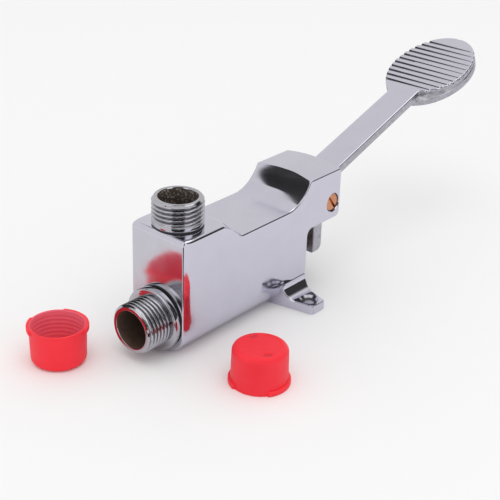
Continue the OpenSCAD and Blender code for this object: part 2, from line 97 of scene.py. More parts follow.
def new_material(name, settings=None):
    """A node material with a Principled shader of the given settings wired to its output."""
    material, tree = empty_material(name)
    skin = add_node(tree, "ShaderNodeBsdfPrincipled", settings)
    add_node(tree, "ShaderNodeOutputMaterial", None, {"Surface": skin.outputs[0]})
    return material, tree, skin


print("helpers ready; white in linear light is", [round(v, 3) for v in linear("#FFFFFF")])

# %% [markdown]
# ## Camera
# The camera stands ahead of the inlet and to one side, a little above the valve, as in the photograph. Its place and
# lens were solved on the straight edges of the casting, so the picture needs no lens shift. Setting it by eye would
# leave the edges at wrong angles. The turn about its own axis is small but shows in the upright edges.

# %% Camera
CAMERA_AT = Vector((-0.3707, -0.29715, 0.2563))
CAMERA_TURN, CAMERA_RISE, CAMERA_ROLL = (math.radians(a) for a in (-50.38, 26.56, 2.01))
SENSOR_MM, LENS_MM = 36, 88.19
back = Vector((math.sin(CAMERA_TURN) * math.cos(CAMERA_RISE),
               -math.cos(CAMERA_TURN) * math.cos(CAMERA_RISE),
               math.sin(CAMERA_RISE)))
level = Vector((math.cos(CAMERA_TURN), math.sin(CAMERA_TURN), 0))
upright = back.cross(level)
right = math.cos(CAMERA_ROLL) * level + math.sin(CAMERA_ROLL) * upright
up = math.cos(CAMERA_ROLL) * upright - math.sin(CAMERA_ROLL) * level
lens = bpy.data.cameras.new("studio_camera")
lens.sensor_width, lens.lens = SENSOR_MM, LENS_MM
camera = bpy.data.objects.new("studio_camera", lens)
camera.matrix_world = Matrix.Translation(CAMERA_AT) @ Matrix((right, up, back)).transposed().to_4x4()
scene.collection.objects.link(camera)
scene.camera = camera
print("camera at", [round(v, 3) for v in CAMERA_AT], "lens", LENS_MM, "mm")

# %% [markdown]
# ## Studio
# Polished chrome has hardly any colour of its own: it shows the room. The room here is a pale studio with bright
# panels at both sides of the camera and dark gaps between them, which draw the dark lines along the edges and the
# dark bands in the threads. Real lamps there would also light the floor and the caps, so the panels are painted into
# the world instead, by azimuth and elevation, each over the ones before it.

# %% Panels of the studio
STUDIO_HEADING = math.atan2(back.y, back.x)
BACKDROP_LIGHT = 0.70
# Each panel: from and to azimuth beside the camera, from and to elevation, edge softness in degrees, brightness.
PANELS = [
    (-68, -24, -90, 52, 6, 1.15),
    (-24, 36, -90, 55, 8, 0.03),
    (36, 66, -90, 48, 6, 1.1),
    (66, 127, -90, 44, 6, 0.04),
    (-128, -68, -90, 40, 5, 0.035),
    (100, 175, 54, 76, 4, 1.7),
]
world = bpy.data.worlds.new("white_studio")
scene.world = world
world.use_nodes = True
room = world.node_tree
room.nodes.clear()


def band(source, low, high, soft):
    """Mask that is 1 between two angles in degrees, with a soft edge."""
    edges = []
    for angle, start, end in ((low, 0.0, 1.0), (high, 1.0, 0.0)):
        edge = add_node(room, "ShaderNodeMapRange",
                        {"interpolation_type": "SMOOTHSTEP", "From Min": math.radians(angle - soft),
                         "From Max": math.radians(angle + soft), "To Min": start, "To Max": end}, {"Value": source})
        edges.append(edge.outputs[0])
    return add_node(room, "ShaderNodeMath", {"operation": "MULTIPLY"}, {0: edges[0], 1: edges[1]}).outputs[0]


direction = add_node(room, "ShaderNodeTexCoord")
turned = add_node(room, "ShaderNodeVectorRotate", {"rotation_type": "Z_AXIS", "Angle": -STUDIO_HEADING},
                  {"Vector": direction.outputs["Generated"]})
axes = add_node(room, "ShaderNodeSeparateXYZ", None, {0: turned.outputs[0]})
azimuth = add_node(room, "ShaderNodeMath", {"operation": "ARCTAN2"}, {0: axes.outputs["Y"], 1: axes.outputs["X"]})
elevation = add_node(room, "ShaderNodeMath", {"operation": "ARCSINE"}, {0: axes.outputs["Z"]})
seen = add_node(room, "ShaderNodeValue").outputs[0]
seen.default_value = BACKDROP_LIGHT
for start, end, low, high, soft, light in PANELS:
    mask = add_node(room, "ShaderNodeMath", {"operation": "MULTIPLY"},
                    {0: band(azimuth.outputs[0], start, end, soft), 1: band(elevation.outputs[0], low, high, soft)})
    panel = add_node(room, "ShaderNodeMix", {"data_type": "FLOAT", 3: light}, {0: mask.outputs[0], 2: seen})
    seen = panel.outputs[0]
print("studio with", len(PANELS), "panels")

# %% [markdown]
# Only reflected rays see the panels. Diffuse surfaces get even light, which keeps the shadow soft, and the camera
# sees a pale backdrop.

# %% Studio world
EVEN_LIGHT, PALE = 0.89, linear("#F6F6F6")
ray = add_node(room, "ShaderNodeLightPath")
reflected = add_node(room, "ShaderNodeMix", {"data_type": "FLOAT", 2: EVEN_LIGHT},
                     {0: ray.outputs["Is Glossy Ray"], 3: seen})
even = add_node(room, "ShaderNodeBackground", {"Color": (1, 1, 1, 1)}, {"Strength": reflected.outputs[0]})
pale = add_node(room, "ShaderNodeBackground", {"Color": PALE, "Strength": 1.0})
looked_at = add_node(room, "ShaderNodeMath", {"operation": "MAXIMUM"},
                     {0: ray.outputs["Is Camera Ray"], 1: ray.outputs["Is Transmission Ray"]})
view = add_node(room, "ShaderNodeMixShader", None,
                {0: looked_at.outputs[0], 1: even.outputs[0], 2: pale.outputs[0]})
add_node(room, "ShaderNodeOutputWorld", None, {"Surface": view.outputs[0]})
print("studio world of", len(room.nodes), "nodes, even light", EVEN_LIGHT)

# %% [markdown]
# The floor is a matt white sheet, large enough to fill every view, so the object keeps its own soft shadow on it.
# Chrome sees it a little greyer than the camera does, which keeps the casting's sides from burning out. One wide lamp
# above gives the shadow.

# %% Floor and lamp
FLOOR_HALF, FLOOR_MIRRORED = 6.0, linear("#E0E0E2")
LAMP_WATT, LAMP_SIZE, LAMP_AT = 4.6, 1.6, Vector((-0.25, -0.35, 1.5))


def flat_sheet(name, corners, material):
    """A single face through the given points, kept out of the object as stage."""
    mesh = bpy.data.meshes.new(name)
    mesh.from_pydata(corners, [], [list(range(len(corners)))])
    mesh.materials.append(material)
    sheet = bpy.data.objects.new(name, mesh)
    scene.collection.objects.link(sheet)
    return sheet


paper, paper_tree, paper_skin = new_material("matt_white_paper", {"Roughness": 0.9, "Specular IOR Level": 0.0})
paper_ray = add_node(paper_tree, "ShaderNodeLightPath")
paper_tone = add_node(paper_tree, "ShaderNodeMix", {"data_type": "RGBA", 6: PALE, 7: FLOOR_MIRRORED},
                      {0: paper_ray.outputs["Is Glossy Ray"]})
paper_tree.links.new(paper_tone.outputs[2], paper_skin.inputs["Base Color"])
flat_sheet("floor_sheet", [(x * FLOOR_HALF, y * FLOOR_HALF, 0) for x, y in ((-1, -1), (1, -1), (1, 1), (-1, 1))], paper)

lamp = bpy.data.lights.new("overhead_softbox", "AREA")
lamp.shape, lamp.size, lamp.energy = "DISK", LAMP_SIZE, LAMP_WATT
lamp_object = bpy.data.objects.new("overhead_softbox", lamp)
lamp_object.location = LAMP_AT
lamp_object.rotation_euler = (-LAMP_AT).to_track_quat("-Z", "Y").to_euler()
lamp_object.visible_glossy = False
scene.collection.objects.link(lamp_object)
print("floor of", 2 * FLOOR_HALF, "m and a lamp of", LAMP_WATT, "W")

# %% [markdown]
# Bright metal is photographed with cards held near it. Four are needed here, and only reflected rays meet them. A
# black card on the floor is what the undersides of the threads see. A white card behind the front corner is what the
# rounded brow of the block mirrors. A black card on the far side draws the dark patch in the hollow rise before the
# hood: rays were followed from the camera over that rise to find the card's outline. A thin paper before it, from
# clear to white, lets the patch fade out to the left. Felt is almost black; the papers glow as if lit from behind.

# %% Felt and papers
PAPER_LIGHT, FELT_TINT = 0.72, linear("#0C0C0D")
# The thin paper turns white where x minus FADE_LEAN times z goes from FADE_FROM to FADE_TO, in millimetres.
FADE_LEAN, FADE_FROM, FADE_TO = 1.06, -145.0, -137.0

black_felt = new_material("black_felt", {"Base Color": FELT_TINT})[0]
lit_paper, lit_tree = empty_material("lit_white_paper")
lit_glow = add_node(lit_tree, "ShaderNodeEmission", {"Strength": PAPER_LIGHT})
add_node(lit_tree, "ShaderNodeOutputMaterial", None, {"Surface": lit_glow.outputs[0]})
thin_paper, thin_tree = empty_material("thin_white_paper")
thin_place = add_node(thin_tree, "ShaderNodeTexCoord")
thin_axes = add_node(thin_tree, "ShaderNodeSeparateXYZ", None, {0: thin_place.outputs["Object"]})
thin_lean = add_node(thin_tree, "ShaderNodeMath", {"operation": "MULTIPLY_ADD", 1: -FADE_LEAN},
                     {0: thin_axes.outputs["Z"], 2: thin_axes.outputs["X"]})
thin_share = add_node(thin_tree, "ShaderNodeMapRange",
                      {"interpolation_type": "SMOOTHSTEP", "From Min": FADE_FROM * MM, "From Max": FADE_TO * MM},
                      {"Value": thin_lean.outputs[0]})
thin_clear = add_node(thin_tree, "ShaderNodeBsdfTransparent")
thin_glow = add_node(thin_tree, "ShaderNodeEmission", {"Strength": PAPER_LIGHT})
thin_mix = add_node(thin_tree, "ShaderNodeMixShader", None,
                    {0: thin_share.outputs[0], 1: thin_clear.outputs[0], 2: thin_glow.outputs[0]})
add_node(thin_tree, "ShaderNodeOutputMaterial", None, {"Surface": thin_mix.outputs[0]})
print("card materials:", black_felt.name, lit_paper.name, thin_paper.name)

# %% [markdown]
# A card is a single face. It is hidden from every kind of ray but the reflected one, so it casts no shadow, throws no
# light on the floor and never shows itself.

# %% Cards
CARD_NEAR, CARD_FAR, CARD_HEIGHT, CARD_SIDES = 60 * MM, 150 * MM, 0.2 * MM, (-24, 36)
CARD_FROM = Vector((-0.060, -0.003, CARD_HEIGHT))
# Upright cards: y of the card, and its outline as (x, z), all in millimetres.
WHITE_CARD = (30, [(-150, 45), (-55, 45), (-55, 118), (-150, 118)])
SHADE_CARD = (60, [(22, 153), (10, 151), (-1, 148), (-11, 143), (-16, 138), (-17, 133), (-15, 127), (-13, 119),
                   (-27, 104), (-38, 98), (-85, 98), (-85, 180), (22, 180)])
THIN_CARD = (59, [(-95, 50), (-8, 50), (-8, 121), (-24, 121)])
floor_card = []
for reach, side in ((CARD_NEAR, 0), (CARD_FAR, 0), (CARD_FAR, 1), (CARD_NEAR, 1)):
    heading = STUDIO_HEADING + math.radians(CARD_SIDES[side])
    floor_card.append(CARD_FROM + reach * Vector((math.cos(heading), math.sin(heading), 0)))
cards = [flat_sheet("black_card", floor_card, black_felt)]
for name, (y, outline), material in (("white_card", WHITE_CARD, lit_paper), ("shade_card", SHADE_CARD, black_felt),
                                     ("thin_card", THIN_CARD, thin_paper)):
    cards.append(flat_sheet(name, [Vector((x, y, z)) * MM for x, z in outline], material))
for card in cards:
    for path in ("camera", "diffuse", "transmission", "shadow"):
        setattr(card, "visible_" + path, False)
print("cards:", [card.name for card in cards])

# %% [markdown]
# ## One recipe for a surface
# A surface is rarely even. One soft pattern spreads two near tints and a range of roughness over it, and smaller
# patterns lift it as bump, as tools and moulds leave their marks. Every finish below is this recipe with its own real
# sizes, which keeps them alike and short.

# %% Surface recipe
ALL_WAYS = (1.0, 1.0, 1.0)


def surface(name, tints, patch, rough, bumps, settings=None):
    """A material by its tints, patch (size in mm, noise detail, noise roughness), rough (the patch values between
    which it changes, the two roughnesses; None if settings give an even one) and bumps (size in mm, depth in mm, noise
    detail, strength, stretch)."""
    material, tree, skin = new_material(name, settings)
    place = add_node(tree, "ShaderNodeTexCoord").outputs["Object"]
    spots = add_node(tree, "ShaderNodeTexNoise",
                     {"Scale": repeats(patch[0]), "Detail": patch[1], "Roughness": patch[2]},
                     {"Vector": place}).outputs["Fac"]
    tone = add_node(tree, "ShaderNodeMix", {"data_type": "RGBA", 6: linear(tints[0]), 7: linear(tints[1])}, {0: spots})
    tree.links.new(tone.outputs[2], skin.inputs["Base Color"])
    if rough:
        smear = add_node(tree, "ShaderNodeMapRange", {"From Min": rough[0], "From Max": rough[1], "To Min": rough[2],
                                                      "To Max": rough[3]}, {"Value": spots})
        tree.links.new(smear.outputs[0], skin.inputs["Roughness"])
    lifted = {}
    for size_mm, depth_mm, detail, strength, stretch in bumps:
        drawn = add_node(tree, "ShaderNodeMapping", {"Scale": stretch}, {"Vector": place})
        marks = add_node(tree, "ShaderNodeTexNoise", {"Scale": repeats(size_mm), "Detail": detail},
                         {"Vector": drawn.outputs[0]})
        bump = add_node(tree, "ShaderNodeBump", {"Strength": strength, "Distance": depth_mm * MM},
                        {"Height": marks.outputs["Fac"], **lifted})
        lifted = {"Normal": bump.outputs[0]}
    tree.links.new(lifted["Normal"], skin.inputs["Normal"])
    return material


print("surface recipe ready")

# %% [markdown]
# ## Polished chrome plate on cast brass
# The casting was ground and buffed by hand and then plated. Buffing leaves the flat faces slightly wavy, draws very
# fine lines, and handling leaves faint greasy patches that blur the reflection. The colour is chromium's own cool
# grey, a little violet here. A mirror with no detail would look like a rendering, not like a plated part. The faces
# differ: the front was ground coarsely, the saddle only got a satin buff, the pad's wall and the tail keep the rough
# skin of the mould under the plate, and in the thread roots the plate is thin and dull, because the current of a
# plating bath hardly reaches into grooves; there its grey is also painted darker, as shade.

# %% Chrome
CHROME = ("#E5E3F0", "#DBD9E4")


def plated(name, stretch, wave_mm, wave_depth, line_depth, smear=(0.055, 0.13), tints=CHROME, patch_mm=9.0):
    """Polished chrome plate with polishing lines drawn out along the axes where stretch is small."""
    # Greasy patches are about as wide as a fingertip, 9 mm, and waves as the buffing wheel's contact, 14 to 20 mm.
    # Buffing lines are about 0.05 mm apart; 0.35 mm is as fine as the picture can show.
    return surface(name, tints, (patch_mm, 4.0, 0.6), (0.35, 0.75, *smear),
                   [(wave_mm, wave_depth, 1.0, 1.0, ALL_WAYS), (0.35, line_depth, 2.0, 1.0, stretch)],
                   {"Metallic": 1.0})


# Hand buffed: slow waves and lengthwise lines, so that reflections swim a little.
body_chrome = plated("chrome_plate_hand_buffed", (0.06, 1.0, 1.0), 16.0, 0.02, 0.0012)
# Linished on a belt: a softer mirror, its lines along the arm.
pedal_chrome = plated("chrome_plate_linished", (0.08, 1.0, 1.0), 14.0, 0.015, 0.0015, (0.10, 0.19))
# Turned on a lathe: even and bright, its grey darker than the casting's and greyer in patches.
nipple_chrome = plated("chrome_plate_turned", ALL_WAYS, 6.0, 0.004, 0.0015, (0.05, 0.09), ("#D6D5DB", "#B7B6BC"))
# Ground upright on a coarse wheel: reflections smear up and down.
front_chrome = plated("chrome_plate_coarse_buffed", (1.0, 1.0, 0.05), 20.0, 0.02, 0.003, (0.09, 0.17),
                      ("#E0DFE7", "#D4D3DA"))
# Plated over the mould's skin: dull, pitted and blotchy, with lumps of sand about 1.5 mm apart.
skin_chrome = plated("chrome_plate_over_cast_skin", ALL_WAYS, 1.6, 0.018, 0.005, (0.26, 0.44),
                     ("#E0DEE6", "#929197"), 1.3)
# Thin in the thread roots: a soft grey without sharp highlights, painted darker as shade in the grooves.
root_chrome_painted_shade = plated("chrome_plate_thin_in_thread_roots_painted_shade", ALL_WAYS, 6.0, 0.004, 0.002, (0.14, 0.24),
                     ("#A6A5AA", "#8B8A8F"))
# Satin buff: the room shows only as soft light.
satin_chrome = plated("chrome_plate_satin_buffed", (0.06, 1.0, 1.0), 16.0, 0.01, 0.0012, (0.20, 0.30))
print("chrome finishes:", [m.name for m in (body_chrome, pedal_chrome, nipple_chrome, front_chrome, skin_chrome,
                                            root_chrome_painted_shade, satin_chrome)])

# %% [markdown]
# ## The other metals, and rubber
# Inner pieces are turned from plain brass and stay unplated, so they are yellow and a little dull, with fine marks
# from the lathe. Gland nut and stem are a darker, brownish grey brass, and the inlet's bore is brown from water. The
# pivot screw has a copper flash. The spring is drawn steel wire. Washers and packing are moulded black rubber. The well
# under the outlet is as the sand mould left it: rough and dark with light grains of brass, which a cell pattern gives
# better than noise.

# %% Brass, copper, wire, rubber
def dull_metal(name, tints, rough, mark_mm, bare=1.0):
    """Metal without plate: blotches of some 3 mm, fine tool marks. bare is less than 1 under a film."""
    return surface(name, tints, (3.0, 5.0, 0.5), (0.0, 1.0, rough - 0.06, rough + 0.1),
                   [(mark_mm, 0.004, 2.0, 1.0, ALL_WAYS)], {"Metallic": bare})


# Fresh from the lathe: warm yellow with a soft sheen.
brass = dull_metal("turned_brass", ("#CDA765", "#A97F45"), 0.3, 0.3)
# Copper flash on a steel screw: pink and fairly bright.
copper = dull_metal("copper_flashed_steel", ("#F2AF87", "#D08C63"), 0.28, 0.25)
# Drawn through a die: an even, smooth grey.
wire_steel = dull_metal("drawn_spring_steel", ("#A3A6AA", "#7C7F84"), 0.3, 0.15)
# Bored and often wet: brown, with little metal shine left.
tube_brass = dull_metal("bored_brass_dull_brown", ("#765F53", "#4A3930"), 0.5, 0.6, 0.35)
# Drilled ring in the countersink: dull, and painted dark as shade.
drilled_ring_painted_shade = dull_metal("drilled_brass_painted_shade", ("#6C6B6C", "#454445"), 0.4, 0.3, 0.6)
# Darker brass: brownish grey and dull.
dark_brownish_brass = dull_metal("turned_brass_dark_brownish", ("#7D6F60", "#4E443B"), 0.45, 0.3, 0.7)
# Moulded rubber: nearly black and dull. Talc and mould grain on it are about 0.2 mm.
rubber = surface("moulded_black_rubber", ("#232325", "#37373A"), (0.2, 3.0, 0.5), None,
                 [(0.2, 0.02, 3.0, 0.6, ALL_WAYS)], {"Roughness": 0.7})

# Sand grains are about 0.3 mm; 0.6 mm shows in the picture.
SAND_MM, SAND_DEPTH = 0.6, 0.25
sand_cast, sand_tree, sand_skin = new_material("sand_cast_brass_dark", {"Roughness": 0.65, "Metallic": 0.2})
sand_place = add_node(sand_tree, "ShaderNodeTexCoord")
sand_grain = add_node(sand_tree, "ShaderNodeTexVoronoi", {"Scale": repeats(SAND_MM)},
                      {"Vector": sand_place.outputs["Object"]})
sand_light = add_node(sand_tree, "ShaderNodeMapRange", {"From Min": 0.62, "From Max": 0.98},
                      {"Value": sand_grain.outputs["Color"]})
sand_tone = add_node(sand_tree, "ShaderNodeMix", {"data_type": "RGBA", 6: linear("#4E443F"), 7: linear("#B3A598")},
                     {0: sand_light.outputs[0]})
sand_bump = add_node(sand_tree, "ShaderNodeBump", {"Strength": 1.0, "Distance": SAND_DEPTH * MM},
                     {"Height": sand_grain.outputs["Distance"]})
sand_tree.links.new(sand_tone.outputs[2], sand_skin.inputs["Base Color"])
sand_tree.links.new(sand_bump.outputs[0], sand_skin.inputs["Normal"])
print("finishes:", [m.name for m in (brass, copper, wire_steel, tube_brass, drilled_ring_painted_shade, dark_brownish_brass, rubber,
                                     sand_cast)])

# %% [markdown]
# ## Red polyethylene
# The caps are thin moulded polyethylene, which lets a little light through. Flow marks of the moulding are some 5 mm
# long, and the mould's spark grain is about 0.25 mm. The inside is painted a paler pink, as painted light for the
# light that comes through the thin walls, and the dents of the pins that push a cap out are painted slightly darker, as
# shade.

# %% Red plastic
# Light enters about 1.5 mm deep, red the furthest, so that thin walls look soft and full of colour.
POLYTHENE = {"Specular IOR Level": 0.4, "Subsurface Weight": 0.4, "Subsurface Radius": (1.0, 0.25, 0.2),
             "Subsurface Scale": 1.5 * MM}
# Tints: the cap's own red, the pin dents painted darker as shade, the inside painted paler as light.
polythene, pin_mark_painted_shade, inside_painted_light = (
    surface("moulded_red_polyethylene" + side, tints, (5.0, 3.0, 0.5), (0.0, 1.0, 0.36, 0.5),
            [(0.25, 0.01, 2.0, 0.5, ALL_WAYS)], POLYTHENE)
    for side, tints in (("", ("#FD2B3B", "#F52436")), ("_pin_mark_painted_shade", ("#E6293A", "#DC2435")),
                        ("_inside_painted_light", ("#F27686", "#EA6C7E"))))
print("cap finishes:", polythene.name, pin_mark_painted_shade.name, inside_painted_light.name)

# %% [markdown]
# ## Helpers for shapes
# The pieces with fine edges are skinned through loops of points, the way a lathe or a loft would sweep them. Two
# helpers skin a row of loops and turn the result into a mesh, so that every piece below only says where its points
# lie.

# %% Shape helpers
def spread(start, end, count):
    """Evenly spaced values from start up to, not including, end."""
    return [start + (end - start) * i / count for i in range(count)]


def upto(count, end=quarter):
    """Evenly spaced angles from 0 up to and including end."""
    return [end * i / count for i in range(count + 1)]


def skin_loops(shape, loops, joined=False, capped=False):
    """Skins a row of loops of points; a loop of one point is a pole. joined closes the last loop onto the first, as
    in a tube, and capped closes both ends with a face."""
    for first, second in zip(loops, loops[1:] + (loops[:1] if joined else [])):
        count = max(len(first), len(second))
        for i in range(count):
            j = (i + 1) % count
            if len(first) == 1:
                shape.faces.new((first[0], second[j], second[i]))
            elif len(second) == 1:
                shape.faces.new((first[i], first[j], second[0]))
            else:
                shape.faces.new((first[i], first[j], second[j], second[i]))
    if capped:
        shape.faces.new(loops[0])
        shape.faces.new(loops[-1])


def to_mesh(shape, name):
    """A mesh from an edit shape, with all faces outward."""
    bmesh.ops.recalc_face_normals(shape, faces=shape.faces)
    mesh = bpy.data.meshes.new(name)
    shape.to_mesh(mesh)
    shape.free()
    return mesh


def bare_piece(name, mesh):
    """An object for a mesh, linked to the scene."""
    piece = bpy.data.objects.new(name, mesh)
    scene.collection.objects.link(piece)
    return piece


def smooth(mesh, angle):
    """Smooth shading except at edges sharper than an angle in degrees."""
    mesh.shade_smooth()
    mesh.set_sharp_from_angle(angle=math.radians(angle))


print("shape helpers ready; a rounding in three steps turns by", round(math.degrees(upto(3)[1])), "degrees each")

# %% [markdown]
# ## Casting
# The casting is one block of brass, ground flat on its sides and buffed, so its edges are slightly rounded: a little
# more along the raised block, a little less along the saddle and the hood. The frame's solid has knife edges, and
# chrome shows every edge as a line of reflected room, so the skin is built new from the same sizes. The side view
# is walked round once, station by station. Each station is a line across the casting, and at both ends of it a small
# arc rolls over to the side. A bevel modifier was the other way, but it tears where curves meet at a shallow angle.

# %% Sizes of the casting, in millimetres as in the frame
HALF_W = 15.0
FRONT_X, REAR_X, HOOD_X, HOOD_END = -68.0, 8.5, 10.9, 30.4
BLOCK_TOP, SADDLE_TOP, HOOD_SIDE, HOOD_CROWN = 51.2, 43.4, 53.0, 1.5
BLOCK_END, BLOCK_CORNER, RAMP_SLOPE = -43.0, 6.0, 7.8 / 8.5
SCOOP_R, BROW_R, FOOT_R, SOFT_R, SOFT_X = 17.0, 2.0, 12.5, 14.0, -62.0
CHEEK_Z, CHEEK_COVE, CHEEK_ROUND = 30.7, 3.0, 2.5
CROWN_R = (HALF_W ** 2 + HOOD_CROWN ** 2) / (2 * HOOD_CROWN)
CREASE, FILLET, FRONT_DISH, DISH_Z, DISH_HALF = 0.55, 1.6, 0.3, 25.0, 24.2
HOOD_EDGE, REAR_EDGE, FLOOR_EDGE = 0.75, 1.0, 0.8
print("casting", HOOD_END - FRONT_X, "mm long and", 2 * HALF_W, "mm wide; hood crown radius", round(CROWN_R, 1), "mm")

# %% [markdown]
# The upper surfaces are written as heights. The slope behind the block is a cone round each of its rear corners, with
# a soft crease at the top and a fillet at the saddle, as the grinding belt left it.

# %% Surfaces of the casting
def crown(y):
    """Height of the arched hood at y."""
    return HOOD_SIDE + HOOD_CROWN - CROWN_R + math.sqrt(CROWN_R ** 2 - y * y)


def deck(x, y):
    """Height of block, slope and saddle: the slope runs round the block's rear corners as cones."""
    out = math.hypot(max(0.0, x - BLOCK_END + BLOCK_CORNER), max(0.0, abs(y) - HALF_W + BLOCK_CORNER)) - BLOCK_CORNER
    if out <= -CREASE:
        drop = 0.0
    elif out < CREASE:
        drop = RAMP_SLOPE * (out + CREASE) ** 2 / (4 * CREASE)
    else:
        drop = RAMP_SLOPE * out
    above = BLOCK_TOP - SADDLE_TOP - drop
    if above >= FILLET:
        return SADDLE_TOP + above
    return SADDLE_TOP + (max(0.0, above + FILLET) ** 2) / (4 * FILLET)


def scoop_end(y):
    """Turn of the hollow rise, in radians, at which the rounded front edge of the hood begins."""
    return math.acos((SADDLE_TOP + SCOOP_R + HOOD_EDGE - crown(y)) / (SCOOP_R + HOOD_EDGE))


def front_dish(y, z):
    """How far the front face lies behind its plane: hand grinding left it a little hollow."""
    return FRONT_DISH * max(0.0, 1 - (y / HALF_W) ** 2) * max(0.0, 1 - ((z - DISH_Z) / DISH_HALF) ** 2)


def hood_edge(y, share):
    """Point of the hood's rounded front edge, from the hollow rise (0) to the level top (1)."""
    tip = scoop_end(y)
    turn = quarter - tip * (1 - share)
    return (HOOD_X - SCOOP_R + (SCOOP_R + HOOD_EDGE) * math.sin(tip) - HOOD_EDGE * math.cos(turn),
            crown(y) - HOOD_EDGE * (1 - math.sin(turn)))


print("deck heights along the middle:", [round(deck(x, 0.0), 1) for x in (-60, -42, -38, -30)])

# %% [markdown]
# The stations go up the front face, over the brow, block, slope and saddle, up the hollow rise to the hood, down the
# rear of the cheeks, under them along the cove, down to the floor and back along the sole. They stand closer where
# the surface bends more, as the reflection there is most sensitive.

# %% Stations of the casting
FACE_FROM, FACE_TO, RAMP_FROM, RAMP_TO = 14.0, 49.2, -50.0, -31.0
foot_levels = [FOOT_R * (1 - math.cos(a)) for a in upto(9)[1:-1]]
foot_rows = [z for z in foot_levels if z > FLOOR_EDGE + 0.4]
# Front face upward, then the brow.
stations = [lambda y, a=a: (FRONT_X + FLOOR_EDGE * (1 - math.sin(a)), FLOOR_EDGE * (1 - math.cos(a)))
            for a in spread(0.0, quarter, 4)]
stations += [lambda y, z=z: (FRONT_X + front_dish(y, z), z)
             for z in [FLOOR_EDGE] + foot_rows + spread(FACE_FROM, FACE_TO, 10)]
stations += [lambda y, a=a: (FRONT_X + BROW_R * (1 - math.cos(a)), BLOCK_TOP - BROW_R * (1 - math.sin(a)))
             for a in spread(0.0, quarter, 8)]
# Block, slope and saddle.
deck_x = (spread(FRONT_X + BROW_R, SOFT_X, 3) + spread(SOFT_X, RAMP_FROM, 8) + spread(RAMP_FROM, RAMP_TO, 52)
          + spread(RAMP_TO, HOOD_X - SCOOP_R, 10))
stations += [lambda y, x=x: (x, deck(x, y)) for x in deck_x]
# Hollow rise, hood and its rear edge.
stations += [lambda y, t=t: (HOOD_X - SCOOP_R + SCOOP_R * math.sin(t * scoop_end(y)),
                             SADDLE_TOP + SCOOP_R * (1 - math.cos(t * scoop_end(y)))) for t in spread(0.0, 1.0, 22)]
stations += [lambda y, t=t: hood_edge(y, t) for t in spread(0.0, 1.0, 6)]
stations += [lambda y, x=x: (x, crown(y)) for x in spread(HOOD_X + HOOD_EDGE, HOOD_END - REAR_EDGE, 8)]
stations += [lambda y, a=a: (HOOD_END - REAR_EDGE * (1 - math.sin(a)), crown(y) - REAR_EDGE * (1 - math.cos(a)))
             for a in spread(0.0, quarter, 5)]
# Rear of the cheeks, their lower edge, the cove under them and the rear face down to the floor.
stations += [lambda y, z=z: (HOOD_END, z) for z in (50.0, 44.0, 38.0)]
stations += [lambda y, a=a: (HOOD_END - CHEEK_ROUND * (1 - math.cos(a)), CHEEK_Z + CHEEK_ROUND * (1 - math.sin(a)))
             for a in spread(0.0, quarter, 7)]
stations += [lambda y, x=x: (x, CHEEK_Z) for x in (HOOD_END - CHEEK_ROUND, 24.0, 18.0)]
stations += [lambda y, a=a: (REAR_X + CHEEK_COVE * (1 - math.sin(a)), CHEEK_Z - CHEEK_COVE * (1 - math.cos(a)))
             for a in spread(0.0, quarter, 7)]
stations += [lambda y, z=z: (REAR_X, z) for z in [27.7, 20.0] + foot_rows[::-1] + [FLOOR_EDGE]]
stations += [lambda y, a=a: (REAR_X - FLOOR_EDGE * (1 - math.cos(a)), FLOOR_EDGE * (1 - math.sin(a)))
             for a in spread(quarter / 4, quarter, 3)]
# Sole.
stations += [lambda y, x=x: (x, 0.0) for x in (REAR_X - FLOOR_EDGE, -10.0, -30.0, -50.0)]
print("casting:", len(stations), "stations round its side view")

# %% [markdown]
# The rounding is found as a machinist would set a ball cutter: its centre lies one radius under the station's surface
# and one radius inside the side, and the arc joins the two. The side itself is flat, with a soft curve beside the
# front edge and a wide rounding at the foot.

# %% Side and edges of the casting
EDGE_R, BLOCK_EDGE_R, BLOCK_EDGE_MORE = 0.6, 0.7, 0.6


def side_depth(point):
    """Depth of a point inside the casting's side, and the side's outward direction there (for positive y)."""
    x, y, z = point
    found = (HALF_W - y, Vector((0, 1, 0)))
    if x < SOFT_X:
        arm = Vector((x - SOFT_X, y - HALF_W + SOFT_R, 0))
        found = min(found, (SOFT_R - arm.length, arm.normalized()), key=lambda pair: pair[0])
    if z < FOOT_R:
        arm = Vector((0, max(0.0, y - HALF_W + FOOT_R), z - FOOT_R))
        found = min(found, (FOOT_R - arm.length, arm.normalized()), key=lambda pair: pair[0])
    return found


def edge_radius(x, z):
    """Rounding between the walked-round skin and the side: more along the block, fading out at both its ends."""
    if z > SADDLE_TOP - 0.4 and x < 0:
        return (BLOCK_EDGE_R + BLOCK_EDGE_MORE * min(1.0, max(0.0, (x - FRONT_X) / 2.0))
                * min(1.0, max(0.1, (-34.0 - x) / 8.0)))
    return EDGE_R


print("edges rounded by", round(edge_radius(-55.0, BLOCK_TOP), 2), "mm on the block and", EDGE_R, "mm elsewhere")

# %% [markdown]
# Where the ball cutter's centre lies is searched by halving: the half width of a station shrinks until its rounding
# just touches the side. Then the arc is swung from the skin's normal to the side's.

# %% Skin of the casting
ROLL = 6


def skin_point(k, y):
    """Point of station k at y."""
    x, z = stations[k % len(stations)](y)
    return Vector((x, y, z))


def roll_centre(k, y, radius):
    """Centre of the rounding under station k at y, and the skin's normal there."""
    along = skin_point(k + 1, y) - skin_point(k - 1, y)
    over = skin_point(k, y + 0.05) - skin_point(k, y - 0.05)
    normal = over.cross(along).normalized() * -1
    return skin_point(k, y) - radius * normal, normal


